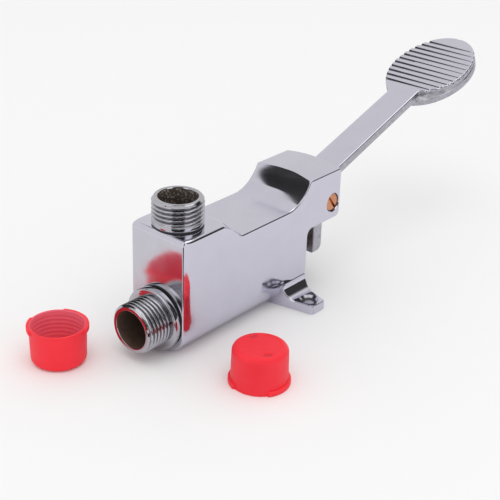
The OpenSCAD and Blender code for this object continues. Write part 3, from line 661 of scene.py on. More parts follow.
def roll_over(k):
    """Half width of station k up to its rounding, and the points of that rounding."""
    x, z = stations[k](HALF_W - 1)
    radius = edge_radius(x, z)
    low, high = HALF_W - FOOT_R - 0.1, HALF_W
    for _ in range(18):
        middle = (low + high) / 2
        centre, normal = roll_centre(k, middle, radius)
        low, high = (middle, high) if side_depth(centre)[0] >= radius - 1e-6 else (low, middle)
    centre, normal = roll_centre(k, low, radius)
    outward = side_depth(centre)[1]
    arc = []
    for i in range(1, ROLL + 1):
        bent = normal.slerp(outward, i / ROLL) if normal.angle(outward) > 1e-4 else normal
        arc.append(centre + radius * bent)
    return low, arc


ACROSS = 36
flip = Matrix.Diagonal((1, -1, 1)).to_3x3()
rows, rims = [], []
for k in range(len(stations)):
    half, arc = roll_over(k)
    line = [skin_point(k, half * (2 * j / ACROSS - 1)) for j in range(ACROSS + 1)]
    rows.append([flip @ p for p in reversed(arc)] + line + arc)
    rims.append(arc[-1])
width = len(rows[0])
print("casting skin:", len(rows), "by", width, "points; first rim", [round(v, 2) for v in rims[0]])

# %% [markdown]
# The two sides are filled by a triangulation that keeps to the rim. A plain fill would do for a flat side, but the
# curved zones, beside the front edge and at the foot, need points of their own to lie on.

# %% Sides of the casting
WELD_MM = 0.0005


def side_at(x, z):
    """Half width of the casting at a place of its side view."""
    half = HALF_W
    if x < SOFT_X:
        half = min(half, HALF_W - SOFT_R + math.sqrt(SOFT_R ** 2 - (x - SOFT_X) ** 2))
    if z < FOOT_R:
        half = min(half, HALF_W - FOOT_R + math.sqrt(FOOT_R ** 2 - (z - FOOT_R) ** 2))
    return half


rim_count = len(rims)
rim_edges = [(k, (k + 1) % rim_count) for k in range(rim_count)]
inner = [(x, z) for x in spread(-64.0, REAR_X - 1, 24) for z in foot_levels + [FOOT_R]]
inner += [(x, z) for x in (-67.0, -66.4, -65.6, SOFT_X) for z in foot_levels[2:] + [FOOT_R] + spread(16.0, 49.0, 8)]
filled = delaunay_2d_cdt([Vector((p.x, p.z)) for p in rims] + [Vector(p) for p in inner], rim_edges, [], 1, 1e-7)

casting = bmesh.new()
grid = [[casting.verts.new(p * MM) for p in row] for row in rows]
for k in range(rim_count):
    here, after = grid[k], grid[(k + 1) % rim_count]
    for j in range(width - 1):
        casting.faces.new((here[j], here[j + 1], after[j + 1], after[j]))
for side, column in ((1, -1), (-1, 0)):
    made = []
    for spot, source in zip(filled[0], filled[3]):
        on_rim = [s for s in source if s < rim_count]
        if on_rim:
            made.append(grid[on_rim[0]][column])
        else:
            made.append(casting.verts.new(Vector((spot.x, side * side_at(spot.x, spot.y), spot.y)) * MM))
    for face in filled[2]:
        corners = [made[i] for i in face]
        if len(set(corners)) == 3 and casting.faces.get(corners) is None:
            casting.faces.new(corners)
bmesh.ops.remove_doubles(casting, verts=casting.verts, dist=WELD_MM * MM)
bmesh.ops.dissolve_degenerate(casting, edges=casting.edges, dist=WELD_MM * MM)
bmesh.ops.holes_fill(casting, edges=[e for e in casting.edges if e.is_boundary], sides=0)
loose = sum(1 for e in casting.edges if len(e.link_faces) != 2)
valve_casting = bare_piece("valve_body_casting", to_mesh(casting, "valve_body_casting"))
print("casting:", len(valve_casting.data.polygons), "faces,", loose, "open edges")

# %% [markdown]
# ## Turned shapes
# Nipples, caps, screw holes and bores are all round, so one helper skins a stack of rings, as a lathe would sweep
# them. A ring's radius or height may depend on the angle, which is how a screw thread or a rim tab gets in.

# %% Lathe helper
ALONG_X, ALONG_Y = Matrix.Rotation(quarter, 4, "Y"), Matrix.Rotation(-quarter, 4, "X")


def placed(x, y, z, turn=Matrix.Identity(4)):
    """Place of a lathe axis, in millimetres."""
    return Matrix.Translation(Vector((x, y, z)) * MM) @ turn


def turned_mesh(name, rings, place, segments=96, joined=False):
    """Mesh through rings of (radius, height) in millimetres about the Z axis of place.
    A ring of radius 0 is a pole. joined closes the last ring onto the first, as in a tube."""
    shape = bmesh.new()
    loops = []
    for radius, height in rings:
        loop = []
        for i in range(1 if radius == 0 else segments):
            turn = 2 * math.pi * i / segments
            r = radius(turn) if callable(radius) else radius
            h = height(turn) if callable(height) else height
            loop.append(shape.verts.new(place @ (Vector((r * math.cos(turn), r * math.sin(turn), h)) * MM)))
        loops.append(loop)
    skin_loops(shape, loops, joined)
    return to_mesh(shape, name)


def new_piece(name, mesh, materials, smooth_below=35):
    """An object with its materials, smooth except at edges sharper than the given angle in degrees."""
    piece = bare_piece(name, mesh)
    for material in materials:
        mesh.materials.append(material)
    smooth(mesh, smooth_below)
    return piece


print("lathe ready")

# %% [markdown]
# ## Floor ears
# Two ears carry the floor screws. A hollow gusset runs up from each ear to the side of the casting, and the buffing
# broke the top edges and the corners. An ear is lofted outward from inside the casting, so that its root is buried and
# can be joined cleanly.

# %% Ears
EAR_T, GUSSET_R, EAR_END, EAR_ROUND, EAR_HALF = 4.0, 6.0, 29.5, 1.8, 4.6
EAR_ROOT, EAR_EDGE, EAR_ACROSS, EAR_BURIED = 10.0, 0.55, 10, 5.0
# The ear's root ends a hair inside the rear face: a boolean loses faces that lie in one plane.
EAR_REAR = REAR_X - 0.03
EAR_INNER = EAR_END - EAR_ROUND


def ear_section(y, top, inset=0.0, shrink=0.0):
    """Outline of the ear across X at a distance from the middle plane."""
    front = -EAR_ROOT + (EAR_ROOT - EAR_HALF) * min(y, EAR_INNER) / EAR_INNER + inset
    rear = EAR_REAR - (EAR_REAR - EAR_HALF) * max(0.0, min(y, EAR_INNER) - HALF_W) / (EAR_INNER - HALF_W) - inset
    top -= shrink
    front_roll = [(front + EAR_EDGE * (1 - math.cos(a)), top - EAR_EDGE * (1 - math.sin(a))) for a in upto(4)[:-1]]
    rear_roll = [(rear - EAR_EDGE * (1 - math.sin(a)), top - EAR_EDGE * (1 - math.cos(a))) for a in upto(4)[1:]]
    level = [(x, top) for x in spread(front + EAR_EDGE, rear - EAR_EDGE, EAR_ACROSS)] + [(rear - EAR_EDGE, top)]
    return [Vector((x, y, z)) for x, z in [(front, 0.0)] + front_roll + level + rear_roll + [(rear, 0.0)]]


ear_sections = [ear_section(EAR_BURIED, EAR_T + GUSSET_R)]
ear_sections += [ear_section(HALF_W + GUSSET_R * (1 - math.cos(a)), EAR_T + GUSSET_R * (1 - math.sin(a)))
                 for a in upto(12)]
ear_sections += [ear_section(y, EAR_T) for y in (22.0, 24.0, 26.0)]
ear_sections += [ear_section(EAR_INNER + EAR_ROUND * math.sin(a), EAR_T, EAR_ROUND * (1 - math.cos(a)))
                 for a in spread(0.0, quarter * 0.8, 6)]
ear_sections += [ear_section(EAR_END - EAR_EDGE * 0.6 * (1 - math.sin(a)), EAR_T,
                             EAR_ROUND * 0.7 + EAR_EDGE * (1 - math.cos(a)), EAR_EDGE * 0.6 * (1 - math.cos(a)))
                 for a in upto(4)]


def ear_mesh(side):
    """One ear, at positive or negative y."""
    shape = bmesh.new()
    skin_loops(shape, [[shape.verts.new(Vector((p.x, side * p.y, p.z)) * MM) for p in section]
                       for section in ear_sections], capped=True)
    return to_mesh(shape, "ear")


print("ear:", len(ear_sections), "sections")

# %% [markdown]
# ## Bores
# The floor holes are countersunk, the front is bored for the inlet and the stem, the block for the outlet, and a way
# joins the two wells inside. A slot between the cheeks takes the pedal's hub, and the pivot screw's hole has room for
# its head. All of them are cut with turned tools, as the drilled ones were. Booleans are exact here, and the bores meet
# in plain curves; modelling those curves by hand would gain nothing.

# %% Join the ears and cut the bores
HOLE_Y, HOLE_R, SINK_R = 24.0, 2.25, 4.0
SINK_FOOT, DARK_STEP = EAR_T - (SINK_R - HOLE_R), 0.85
SLOT_HALF, SLOT_FRONT, SLOT_REAR, HOOD_UNDER = 8.0, 11.5, 40, 48.5
PIVOT_X, PIVOT_Z, PIVOT_R, HEAD_R, HEAD_EDGE = 25.4, 38.3, 3.05, 4.1, 0.35
OUTLET_X, STEM_Z, WAY_Z, WAY_R, RISER_X = -56.4, 14.0, 33.0, 5.5, -23.5


def box_mesh(low, high):
    """A box between two corners, in millimetres."""
    shape = bmesh.new()
    middle = (Vector(low) + Vector(high)) / 2 * MM
    size = (Vector(high) - Vector(low)) * MM
    bmesh.ops.create_cube(shape, size=1.0, matrix=Matrix.Translation(middle) @ Matrix.Diagonal((*size, 1)))
    return to_mesh(shape, "box")


def carve(piece, steps):
    """Joins or cuts a piece with (operation, mesh) steps and keeps the result as its mesh."""
    tools = []
    for operation, mesh in steps:
        tools.append(bare_piece("tool", mesh))
        step = piece.modifiers.new("carve", "BOOLEAN")
        step.object, step.operation, step.solver = tools[-1], operation, "EXACT"
    bpy.context.view_layer.update()
    result = bpy.data.meshes.new_from_object(piece.evaluated_get(bpy.context.evaluated_depsgraph_get()))
    piece.modifiers.clear()
    piece.data = result
    for tool in tools:
        bpy.data.objects.remove(tool)


floor_hole = [(0, -1), (HOLE_R, -1), (HOLE_R, SINK_FOOT), (HOLE_R + DARK_STEP, SINK_FOOT + DARK_STEP), (SINK_R, EAR_T),
              (SINK_R, EAR_T + 7), (0, EAR_T + 7)]
outlet_bore = [(0, 27.5), (7.5, 27.5), (7.5, 41.2), (9.05, 41.2), (9.05, 53.0), (0, 53.0)]
stem_bore = [(0, -69), (9.05, -69), (9.05, -33), (6.5, -33), (6.5, -14), (3.04, -14), (3.04, -6), (6.0, -6),
             (6.0, 1), (7.05, 1), (7.05, 9.5), (0, 9.5)]
level_way = [(0, OUTLET_X), (WAY_R, OUTLET_X), (WAY_R, -20.0), (0, -20.0)]
riser = [(0, STEM_Z), (WAY_R, STEM_Z), (WAY_R, WAY_Z), (0, WAY_Z)]
pivot_hole = [(0, -16), (HEAD_R + HEAD_EDGE, -16), (HEAD_R + HEAD_EDGE, -14.98), (HEAD_R, -14.65), (HEAD_R, -12),
              (PIVOT_R, -12), (PIVOT_R, 16), (0, 16)]
holes = [(floor_hole, placed(0, HOLE_Y, 0), 48), (floor_hole, placed(0, -HOLE_Y, 0), 48)]
bores = [(stem_bore, placed(0, 0, STEM_Z, ALONG_X), 64), (outlet_bore, placed(OUTLET_X, 0, 0), 64),
         (level_way, placed(0, 0, WAY_Z, ALONG_X), 48), (riser, placed(RISER_X, 0, 0), 48),
         (pivot_hole, placed(PIVOT_X, 0, PIVOT_Z, ALONG_Y), 64)]
carve(valve_casting, [("UNION", ear_mesh(side)) for side in (1, -1)]
      + [("DIFFERENCE", turned_mesh("hole", *hole)) for hole in holes]
      + [("DIFFERENCE", box_mesh((SLOT_FRONT, -SLOT_HALF, -1), (SLOT_REAR, SLOT_HALF, HOOD_UNDER)))]
      + [("DIFFERENCE", turned_mesh("bore", *bore)) for bore in bores])
print("casting with ears and bores:", len(valve_casting.data.polygons), "faces")

# %% [markdown]
# ## Finish of the casting
# One casting carries several finishes, most where a tool or the bath did something else. The front face is coarse from
# the grinding wheel, the level saddle is satin because the buff hardly reached it, the bores are bare, the wells keep
# the sand's grain, and a ring deep in each countersink is dull and painted dark, as shade. Faces get their finish by
# where they lie. Normals weighted by face size keep flat faces flat beside their small roundings.

# %% Finish of the casting
RAW_BORE, RAW_WELL, FRONT_FACE, DRILLED_RING_PAINTED_SHADE, SADDLE = 1, 2, 3, 4, 5
ROOM_R, WELL_FROM, WELL_TO, WAY_FROM, WAY_TO = 9.2, 24.0, 51.1, -60.0, -17.0
for material in (body_chrome, tube_brass, sand_cast, front_chrome, drilled_ring_painted_shade, satin_chrome):
    valve_casting.data.materials.append(material)
for face in valve_casting.data.polygons:
    x, y, z = face.center / MM
    face.material_index = 0
    if math.hypot(y, z - STEM_Z) < ROOM_R and FRONT_X + 0.2 < x < REAR_X - 0.05:
        face.material_index = RAW_BORE
    in_well = math.hypot(x - OUTLET_X, y) < ROOM_R and WELL_FROM < z < WELL_TO
    in_way = math.hypot(y, z - WAY_Z) < WAY_R + 0.1 and WAY_FROM < x < WAY_TO
    if in_well or in_way:
        face.material_index = RAW_WELL
    if x < FRONT_X + FRONT_DISH + 0.05 and z < FACE_TO + 0.1 and face.normal.x < -0.97:
        face.material_index = FRONT_FACE
    # The ring deep in each countersink is painted dark, as shade.
    if math.hypot(x, abs(y) - HOLE_Y) < SINK_R + 0.02 and SINK_FOOT < z < SINK_FOOT + DARK_STEP:
        face.material_index = DRILLED_RING_PAINTED_SHADE
    if abs(z - SADDLE_TOP) < 0.3 and face.normal.z > 0.95:
        face.material_index = SADDLE


def weigh_normals(piece, angle):
    """Smooth shading that keeps flat faces flat, with edges sharper than an angle in degrees."""
    smooth(piece.data, angle)
    piece.modifiers.new("flat_faces_stay_flat", "WEIGHTED_NORMAL").keep_sharp = True


weigh_normals(valve_casting, 32)
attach(valve_casting, "valve")
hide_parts("valve_body")
print("casting finished with", [m.name for m in valve_casting.data.materials])

# %% [markdown]
# ## Threaded nipples
# Both nipples carry the standard half-inch pipe thread: 14 turns to the inch, so 1.814 mm from crest to crest, and
# 1.162 mm deep with rounded crests and roots. A modifier could wind a profile up, but its ends are hard to finish.
# Here the thread is cut the way a die cuts it: the radius of each ring dips by a sine that runs along with the angle.
# The thread fades out at the foot and a chamfer takes its first turn off at the rim. Crests are bright; roots are
# dull, and painted darker as shade.

# %% Rings of the nipples
THREAD_R, THREAD_PITCH, THREAD_DEPTH, RING_STEP = 20.955 / 2, 1.814, 1.162, 0.115
BORE_R, SPIGOT_R, RIM_CHAMFER, ROOT_FROM, BORE_END = 7.95, 9.0, 1.05, 0.5, -10.6
COLLAR_R, OUTLET_RIM, INLET_RIM = 13.3, 11.2, 14.1


def thread_wave(height, turn):
    """0 on the crest and 1 in the root of the thread."""
    return 0.5 - 0.5 * math.cos(2 * math.pi * (height / THREAD_PITCH - turn / (2 * math.pi)))


def threaded(foot, rim, fade):
    """Rings of an outside thread from its foot to the chamfered rim."""
    rings = []
    count = round((rim - foot) / RING_STEP)
    for i in range(count + 1):
        height = foot + (rim - foot) * i / count
        cut = THREAD_DEPTH * min(1.0, max(0.0, (height - foot) / fade))
        limit = THREAD_R - max(0.0, height - rim + RIM_CHAMFER)
        rings.append((lambda turn, height=height, cut=cut, limit=limit:
                      min(limit, THREAD_R - cut * thread_wave(height, turn)), height))
    return rings


def rim_and_bore(rim):
    """Rings from the rim's outer edge over its flat face and down the bore."""
    return [(THREAD_R - RIM_CHAMFER - 0.12, rim), (BORE_R + 0.45, rim), (BORE_R + 0.16, rim - 0.1), (BORE_R, rim - 0.4),
            (BORE_R, rim - 4.0), (BORE_R, (rim + BORE_END) / 2), (BORE_R, BORE_END)]


outlet_rings = [(SPIGOT_R, BORE_END), (SPIGOT_R, -0.05), (THREAD_R - 0.45, 0.0), (THREAD_R - 0.15, 0.08),
                (THREAD_R, 0.35), (THREAD_R, 1.2)]
outlet_rings += threaded(1.7, OUTLET_RIM, 0.9) + rim_and_bore(OUTLET_RIM)
inlet_rings = [(5.0, -12.6), (SPIGOT_R, -12.6), (SPIGOT_R, -0.05)]
inlet_rings += [(COLLAR_R - inset, z) for inset, z in ((0.45, 0.0), (0.15, 0.1), (0.0, 0.4), (0.0, 1.5), (0.0, 2.55),
                                                      (0.15, 2.86), (0.45, 3.0), (1.9, 3.02))]
inlet_rings += [(THREAD_R - 0.3, 3.1)] + threaded(3.2, INLET_RIM, 0.5) + rim_and_bore(INLET_RIM) + [(5.0, BORE_END)]
print("nipple rings:", len(outlet_rings), "at the outlet and", len(inlet_rings), "at the inlet")

# %% [markdown]
# A nipple's outside is plated, with dull roots painted darker as shade, and its bore keeps the finish of the water
# way behind it. Each face is sorted by its distance from the lathe axis.

# %% Nipples
def nipple(node, rings, rim, place, bore_finish):
    """A plated nipple whose bore keeps its own finish, in place of its frame node."""
    mesh = turned_mesh(node + "_threaded", rings, place, 128, joined=True)
    piece = new_piece(node + "_threaded", mesh, (nipple_chrome, bore_finish, root_chrome_painted_shade), 40)
    to_lathe = place.inverted()
    for face in mesh.polygons:
        spot = to_lathe @ face.center / MM
        reach = spot.xy.length
        if reach < BORE_R + 0.05:
            face.material_index = 1
        # Thread roots: dull chrome, its grey painted darker as shade.
        elif reach < THREAD_R - ROOT_FROM * THREAD_DEPTH and spot.z < rim - RIM_CHAMFER:
            face.material_index = 2
    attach(piece, "valve")
    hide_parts(node)
    return piece


outlet_nipple = nipple("outlet_nipple", outlet_rings, OUTLET_RIM, placed(OUTLET_X, 0, 51.8), sand_cast)
inlet_place = placed(-68.6, 0, STEM_Z, Matrix.Rotation(-quarter, 4, "Y"))
inlet_nipple = nipple("inlet_nipple", inlet_rings, INLET_RIM, inlet_place, tube_brass)
print("nipples:", [len(p.data.polygons) for p in (outlet_nipple, inlet_nipple)], "faces")

# %% [markdown]
# ## Closing spring
# The spring is drawn wire wound on a mandrel, with its two end turns closed up and ground so that it stands square.
# It sits between the inlet nipple's end and the disc; in the valve it shortens as the pedal opens, but here it is
# built at one length. A round wire is swept along the winding; the pitch opens up between the closed ends.

# %% Spring
SPRING_FROM, SPRING_TO, SPRING_R, WIRE_R, SPRING_TURNS = -55.95, -45.13, 6.3, 0.55, 4.5
WIRE_SIDES, WIRE_STEPS, CLOSED_ENDS = 12, 216, 0.055
spring_shape = bmesh.new()
wire_loops = []
for step in range(WIRE_STEPS + 1):
    share = step / WIRE_STEPS
    turn = 2 * math.pi * SPRING_TURNS * share
    closed = CLOSED_ENDS * math.sin(2 * math.pi * share)
    middle = SPRING_FROM + WIRE_R + (SPRING_TO - SPRING_FROM - 2 * WIRE_R) * (share - closed)
    out = Vector((0, math.cos(turn), math.sin(turn)))
    loop = []
    for i in range(WIRE_SIDES):
        a = 2 * math.pi * i / WIRE_SIDES
        point = Vector((middle + WIRE_R * math.sin(a), 0, STEM_Z)) + out * (SPRING_R + WIRE_R * math.cos(a))
        loop.append(spring_shape.verts.new(point * MM))
    wire_loops.append(loop)
skin_loops(spring_shape, wire_loops, capped=True)
spring = new_piece("closing_spring_wire", to_mesh(spring_shape, "closing_spring_wire"), (wire_steel,))
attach(spring, "valve")
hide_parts("closing_spring")
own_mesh(spring)
print("spring:", len(spring.data.polygons), "faces,", SPRING_TURNS, "turns")

# %% [markdown]
# ## Thread caps
# The caps are injection moulded: thin walls that taper towards the closed end so that they leave the mould, a
# rounded bottom edge, a faint inside thread and two tabs round the rim to pull them off by. The closed end shows the
# mould's round insert as a small step, and two round marks where its pins pushed, one deep and one faint. All of it is
# one lathe skin whose rings bend with the angle. A texture could fake the marks, but not the tabs' outline.

# %% Rings of a cap
CAP_H, CAP_R, CAP_IN, CAP_TAPER = 16.0, 11.3775, 10.5775, 0.42
CAP_ROUND, CAP_FLOOR, FLOOR_ROUND, TAB_OUT, TAB_H = 2.4, 1.6, 1.2, 0.9, 2.2
PIN_REACH, PIN_R, PIN_DEPTH, PIN_FAINT, INSERT_R, INSERT_STEP = 7.6, 1.8, 0.6, 0.4, 8.9, 0.1
PIN_TURN = math.radians(101.0)
TABS, TAB_SOFT = ((0.0, 107.0), (178.0, 236.0)), 2.0
INSIDE_RINGS, INSIDE_DEPTH, INSIDE_FROM, INSIDE_TO = 59, 0.16, CAP_H - 1.4, 3.4


def tab_at(turn):
    """1 on a rim tab and 0 beside it, with soft ends."""
    degrees = math.degrees(turn)
    share = 0.0
    for start, end in TABS:
        into = min((degrees - start) % 360.0, (end - degrees) % 360.0)
        if (degrees - start) % 360.0 <= end - start:
            share = max(share, min(1.0, into / TAB_SOFT))
    return share


def end_dent(radius, turn):
    """Depth of the pins' marks and of the insert's step at a place of the closed end."""
    depth = 0.0
    for heading, deep in ((PIN_TURN, PIN_DEPTH), (PIN_TURN + math.pi, PIN_DEPTH * PIN_FAINT)):
        away = math.hypot(radius * math.cos(turn) - PIN_REACH * math.cos(heading),
                          radius * math.sin(turn) - PIN_REACH * math.sin(heading)) / PIN_R
        depth += deep * min(1.0, max(0.0, (1.1 - away) / 0.2))
    return depth + INSERT_STEP * min(1.0, max(0.0, (INSERT_R - radius) / 0.15))


def cap_side(height):
    """Outer radius of the tapered wall at a height."""
    return CAP_R - CAP_TAPER * (1 - height / CAP_H)


cap_rings = [(0, INSERT_STEP)]
cap_rings += [(r, lambda turn, r=r: end_dent(r, turn)) for r in spread(0.6, cap_side(0) - CAP_ROUND, 26)]
cap_rings += [(cap_side(CAP_ROUND) - CAP_ROUND * (1 - math.sin(a)), CAP_ROUND * (1 - math.cos(a)))
              for a in spread(0.0, quarter, 8)]
cap_rings += [(cap_side(h), h) for h in (CAP_ROUND, 6.0, 10.0, CAP_H - TAB_H - 0.25)]
# The rim with its tabs: height, share of the tab's full reach, rounding of the wall.
tab_foot = CAP_H - TAB_H
for h, share, inset in ((tab_foot, 0.0, 0.0), (tab_foot + 0.08, 0.75, 0.0), (tab_foot + 0.3, 1.0, 0.0),
                        (CAP_H - 0.5, 1.0, 0.0), (CAP_H - 0.12, 0.88, 0.0), (CAP_H, 0.55, 0.2)):
    cap_rings.append((lambda turn, h=h, share=share, inset=inset:
                      cap_side(h) - inset + TAB_OUT * share * tab_at(turn), h))
cap_rings += [(CAP_IN + 0.25, CAP_H), (CAP_IN + 0.05, CAP_H - 0.15), (CAP_IN, CAP_H - 0.6)]
for i in range(INSIDE_RINGS + 1):
    h = INSIDE_FROM - i * (INSIDE_FROM - INSIDE_TO) / INSIDE_RINGS
    fade = min(1.0, i / 4.0, (INSIDE_RINGS - i) / 4.0)
    cap_rings.append((lambda turn, h=h, fade=fade: CAP_IN - CAP_TAPER * (1 - h / CAP_H)
                      - INSIDE_DEPTH * fade * thread_wave(h, turn) ** 2, h))
floor_r = CAP_IN - CAP_TAPER
cap_rings += [(floor_r - FLOOR_ROUND * (1 - math.cos(a)), CAP_FLOOR + FLOOR_ROUND * (1 - math.sin(a)))
              for a in spread(0.0, quarter, 5)]
cap_rings += [(floor_r - FLOOR_ROUND, CAP_FLOOR), (5.0, CAP_FLOOR), (0, CAP_FLOOR)]
print("cap:", len(cap_rings), "rings")

# %% [markdown]
# The inlet's cap stands on its closed end and shows its inside, painted paler as light; the outlet's lies on its rim
# and shows the pin marks, painted darker as shade. Both come from the same mould, so the same rings are placed twice.

# %% Caps
INLET_CAP_TURN, OUTLET_CAP_TURN = math.radians(-70.0), math.radians(-17.0)


def thread_cap(node, place):
    """A red cap in place of its frame node, with pin marks painted darker as shade and an inside painted paler as
    light.
    """
    mesh = turned_mesh(node + "_moulded", cap_rings, place, 144)
    piece = new_piece(node + "_moulded", mesh, (polythene, pin_mark_painted_shade, inside_painted_light), 50)
    pin = Vector((PIN_REACH * math.cos(PIN_TURN), PIN_REACH * math.sin(PIN_TURN)))
    to_cap = place.inverted()
    for face in mesh.polygons:
        spot = to_cap @ face.center / MM
        # Pin dents: painted darker, as shade.
        if spot.z < PIN_DEPTH + 0.3 and min((spot.xy - pin).length, (spot.xy + pin).length) < PIN_R * 0.95:
            face.material_index = 1
        # Inside of the cap: painted paler, as light through the thin walls.
        elif spot.z > CAP_FLOOR - 0.05 and spot.xy.length < CAP_IN + 0.3 - CAP_TAPER * (1 - spot.z / CAP_H):
            face.material_index = 2
    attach(piece, node)
    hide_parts(node)
    return piece


inlet_cap = thread_cap("inlet_cap", placed(-101.0, 21.7, 0, Matrix.Rotation(INLET_CAP_TURN, 4, "Z")))
turned_over = Matrix.Rotation(OUTLET_CAP_TURN, 4, "Z") @ Matrix.Rotation(math.pi, 4, "X")
outlet_cap = thread_cap("outlet_cap", placed(-59.0, -46.0, CAP_H, turned_over))
print("caps:", [len(cap.data.polygons) for cap in (inlet_cap, outlet_cap)], "faces")

# %% [markdown]
# ## Pedal
# The pedal is one casting: a hub between the cheeks, the arm, the oval pad and a tail that hangs down to the stem. The
# pad is two steps thick. Its upper step carries eleven milled grooves, which run out through the rim. They are
# shallower towards the near side but notch its rim more, as that wall leans outward over a ledge: the pattern was
# filed by hand. The frame's solid has all of this with knife edges. Here the arm and the upper step are lofted along
# the arm, with stations close together in the grooves. A boolean for each groove would leave hard edges again.

# %% Outline of the pedal
ARM_TILT = math.radians(18.4)
PAD_TOP, ARM_BOTTOM, PAD_STEP, PAD_BOTTOM = 5.5, 1.5, 2.3, -0.9
PAD_U, PAD_A, PAD_B, ARM_HALF, ARM_TAPER = 100.6, 25.6, 18.6, 7.2, 0.4
NEAR_A, NEAR_BLEND, FAR_BLEND = 21.0, 6.0, 3.0
GROOVES, GROOVE_PITCH, GROOVE_W = 11, 3.6, 2.2
FAR_DEPTH, NEAR_DEPTH, NEAR_NOTCH = 0.92, 0.68, 0.8
PAD_EDGE, UNDER_EDGE, LEDGE, LEDGE_FROM, PAD_ACROSS = 0.55, 0.4, 0.5, 76.0, 14
# The wall starts a hair inside the lower step, as a boolean loses edges that lie in a face.
WALL_TOP, WALL_FOOT = PAD_TOP - NEAR_DEPTH - NEAR_NOTCH - PAD_EDGE - 0.1, PAD_STEP - 0.04
arm_place = placed(PIVOT_X, 0, PIVOT_Z, Matrix.Rotation(-ARM_TILT, 4, "Y"))
groove_at = [PAD_U + (k - (GROOVES - 1) / 2) * GROOVE_PITCH for k in range(GROOVES)]


def pad_half(u, reach, blend):
    """Half width of arm and pad at u: the oval flows into the arm."""
    if u >= PAD_U:
        return PAD_B * math.sqrt(max(0.0, 1 - ((u - PAD_U) / PAD_A) ** 2))
    oval = PAD_B * math.sqrt(max(0.0, 1 - ((u - PAD_U) / reach) ** 2))
    arm = ARM_HALF - ARM_TAPER * u / PAD_U
    return (oval ** blend + arm ** blend) ** (1 / blend)


def far_half(u):
    """Half width at the far side."""
    return pad_half(u, PAD_A, FAR_BLEND)


def near_half(u):
    """Half width at the near side."""
    return pad_half(u, NEAR_A, NEAR_BLEND)


def near_foot(u):
    """Foot of the near wall: it leaves a ledge on the lower step."""
    return far_half(u) - LEDGE * min(1.0, max(0.0, (u - LEDGE_FROM) / 6.0))


def pad_level(u, depth):
    """Height of the pad's top at u, with grooves of the given depth."""
    nearest = min(abs(u - g) for g in groove_at)
    if nearest >= GROOVE_W / 2:
        return PAD_TOP
    return PAD_TOP - depth * (0.5 + 0.5 * math.cos(2 * math.pi * nearest / GROOVE_W))


print("pad: half width", far_half(PAD_U), "mm,", GROOVES, "grooves from", round(groove_at[0], 1), "mm")

# %% [markdown]
# At each station along the arm a closed loop goes over the near rim, across the top, over the far rim and back under
# the arm. Inside a groove the loop dips, and at the near rim the dip widens into a notch.

# %% Arm and pad
def pad_rim(u, half, foot_half, depth, notch=0.0):
    """Points of one side from the end of the level top over the rim and down to the underside, as (u, v, w)."""
    slope = (half(u + 0.01) - half(u - 0.01)) / 0.02
    out = Vector((-slope, 1.0)).normalized()
    side, foot = Vector((u, half(u))), Vector((u, foot_half(u)))
    level = pad_level(u, depth)
    fall = notch * (PAD_TOP - level) / depth
    points = []
    for a in upto(4):
        at = side - (out * PAD_EDGE + Vector((0, fall))) * (1 - math.sin(a))
        points.append((at.x, at.y, level - (PAD_EDGE + fall) * (1 - math.cos(a))))
    points += [(side.x, side.y, WALL_TOP), (foot.x, foot.y, WALL_FOOT)]
    for a in upto(3):
        at = foot - out * UNDER_EDGE * (1 - math.cos(a))
        points.append((at.x, at.y, ARM_BOTTOM + UNDER_EDGE * (1 - math.sin(a))))
    return [Vector(p) for p in points]


groove_steps = [-1.0, -0.75, -0.5, -0.25, 0.0, 0.25, 0.5, 0.75, 1.0, 1.3]
arm_stations = spread(0.0, 70.0, 8) + spread(70.0, groove_at[0] - 1.05, 18)
arm_stations += [g + s * GROOVE_W / 2 for g in groove_at for s in groove_steps]
last = math.asin((arm_stations[-1] + 0.4 - PAD_U) / PAD_A)
arm_stations += [PAD_U + PAD_A * math.sin(a) for a in spread(last, math.radians(89.0), 16)]
pedal_shape = bmesh.new()
arm_loops = []
for u in arm_stations:
    far_side = pad_rim(u, far_half, far_half, FAR_DEPTH)
    near_side = [flip @ p for p in pad_rim(u, near_half, near_foot, NEAR_DEPTH, NEAR_NOTCH)]
    across = [near_side[0].lerp(far_side[0], i / PAD_ACROSS) for i in range(1, PAD_ACROSS)]
    under = [far_side[-1].lerp(near_side[-1], i / 4) for i in range(1, 4)]
    loop = near_side[::-1] + across + far_side + under
    arm_loops.append([pedal_shape.verts.new(arm_place @ (p * MM)) for p in loop])
skin_loops(pedal_shape, arm_loops, capped=True)
pedal = bare_piece("pedal_cast", to_mesh(pedal_shape, "pedal_cast"))
print("arm and pad:", len(arm_stations), "stations,", len(pedal.data.polygons), "faces")

# %% [markdown]
# The lower step of the pad is an oval plate with rounded edges, the hub is turned, and the tail is a plain bar with a
# rounded heel where it pushes the stem. They are joined to the arm, and the bore is cut last, through all of it.

# %% Step, hub and tail
HUB_R, HUB_HALF, HUB_BORE, BORE_HALF = 8.2, 7.6, 4.62, 12
STEP_OUT, STEP_UNDER, STEP_OVER, STEP_INNER = 0.3, 0.8, 0.3, 6.0
TAIL_FRONT, TAIL_REAR, TAIL_FOOT, TAIL_HALF, HEEL_R, TAIL_EDGE = 23.8, 29.8, 11.4, 7.0, 3.2, 0.8


def oval_ring(inset):
    """Radius of the lower step at an angle, for the lathe helper."""
    a, b = PAD_A + STEP_OUT - inset, PAD_B + STEP_OUT - inset
    return lambda turn: 1 / math.hypot(math.cos(turn) / a, math.sin(turn) / b)


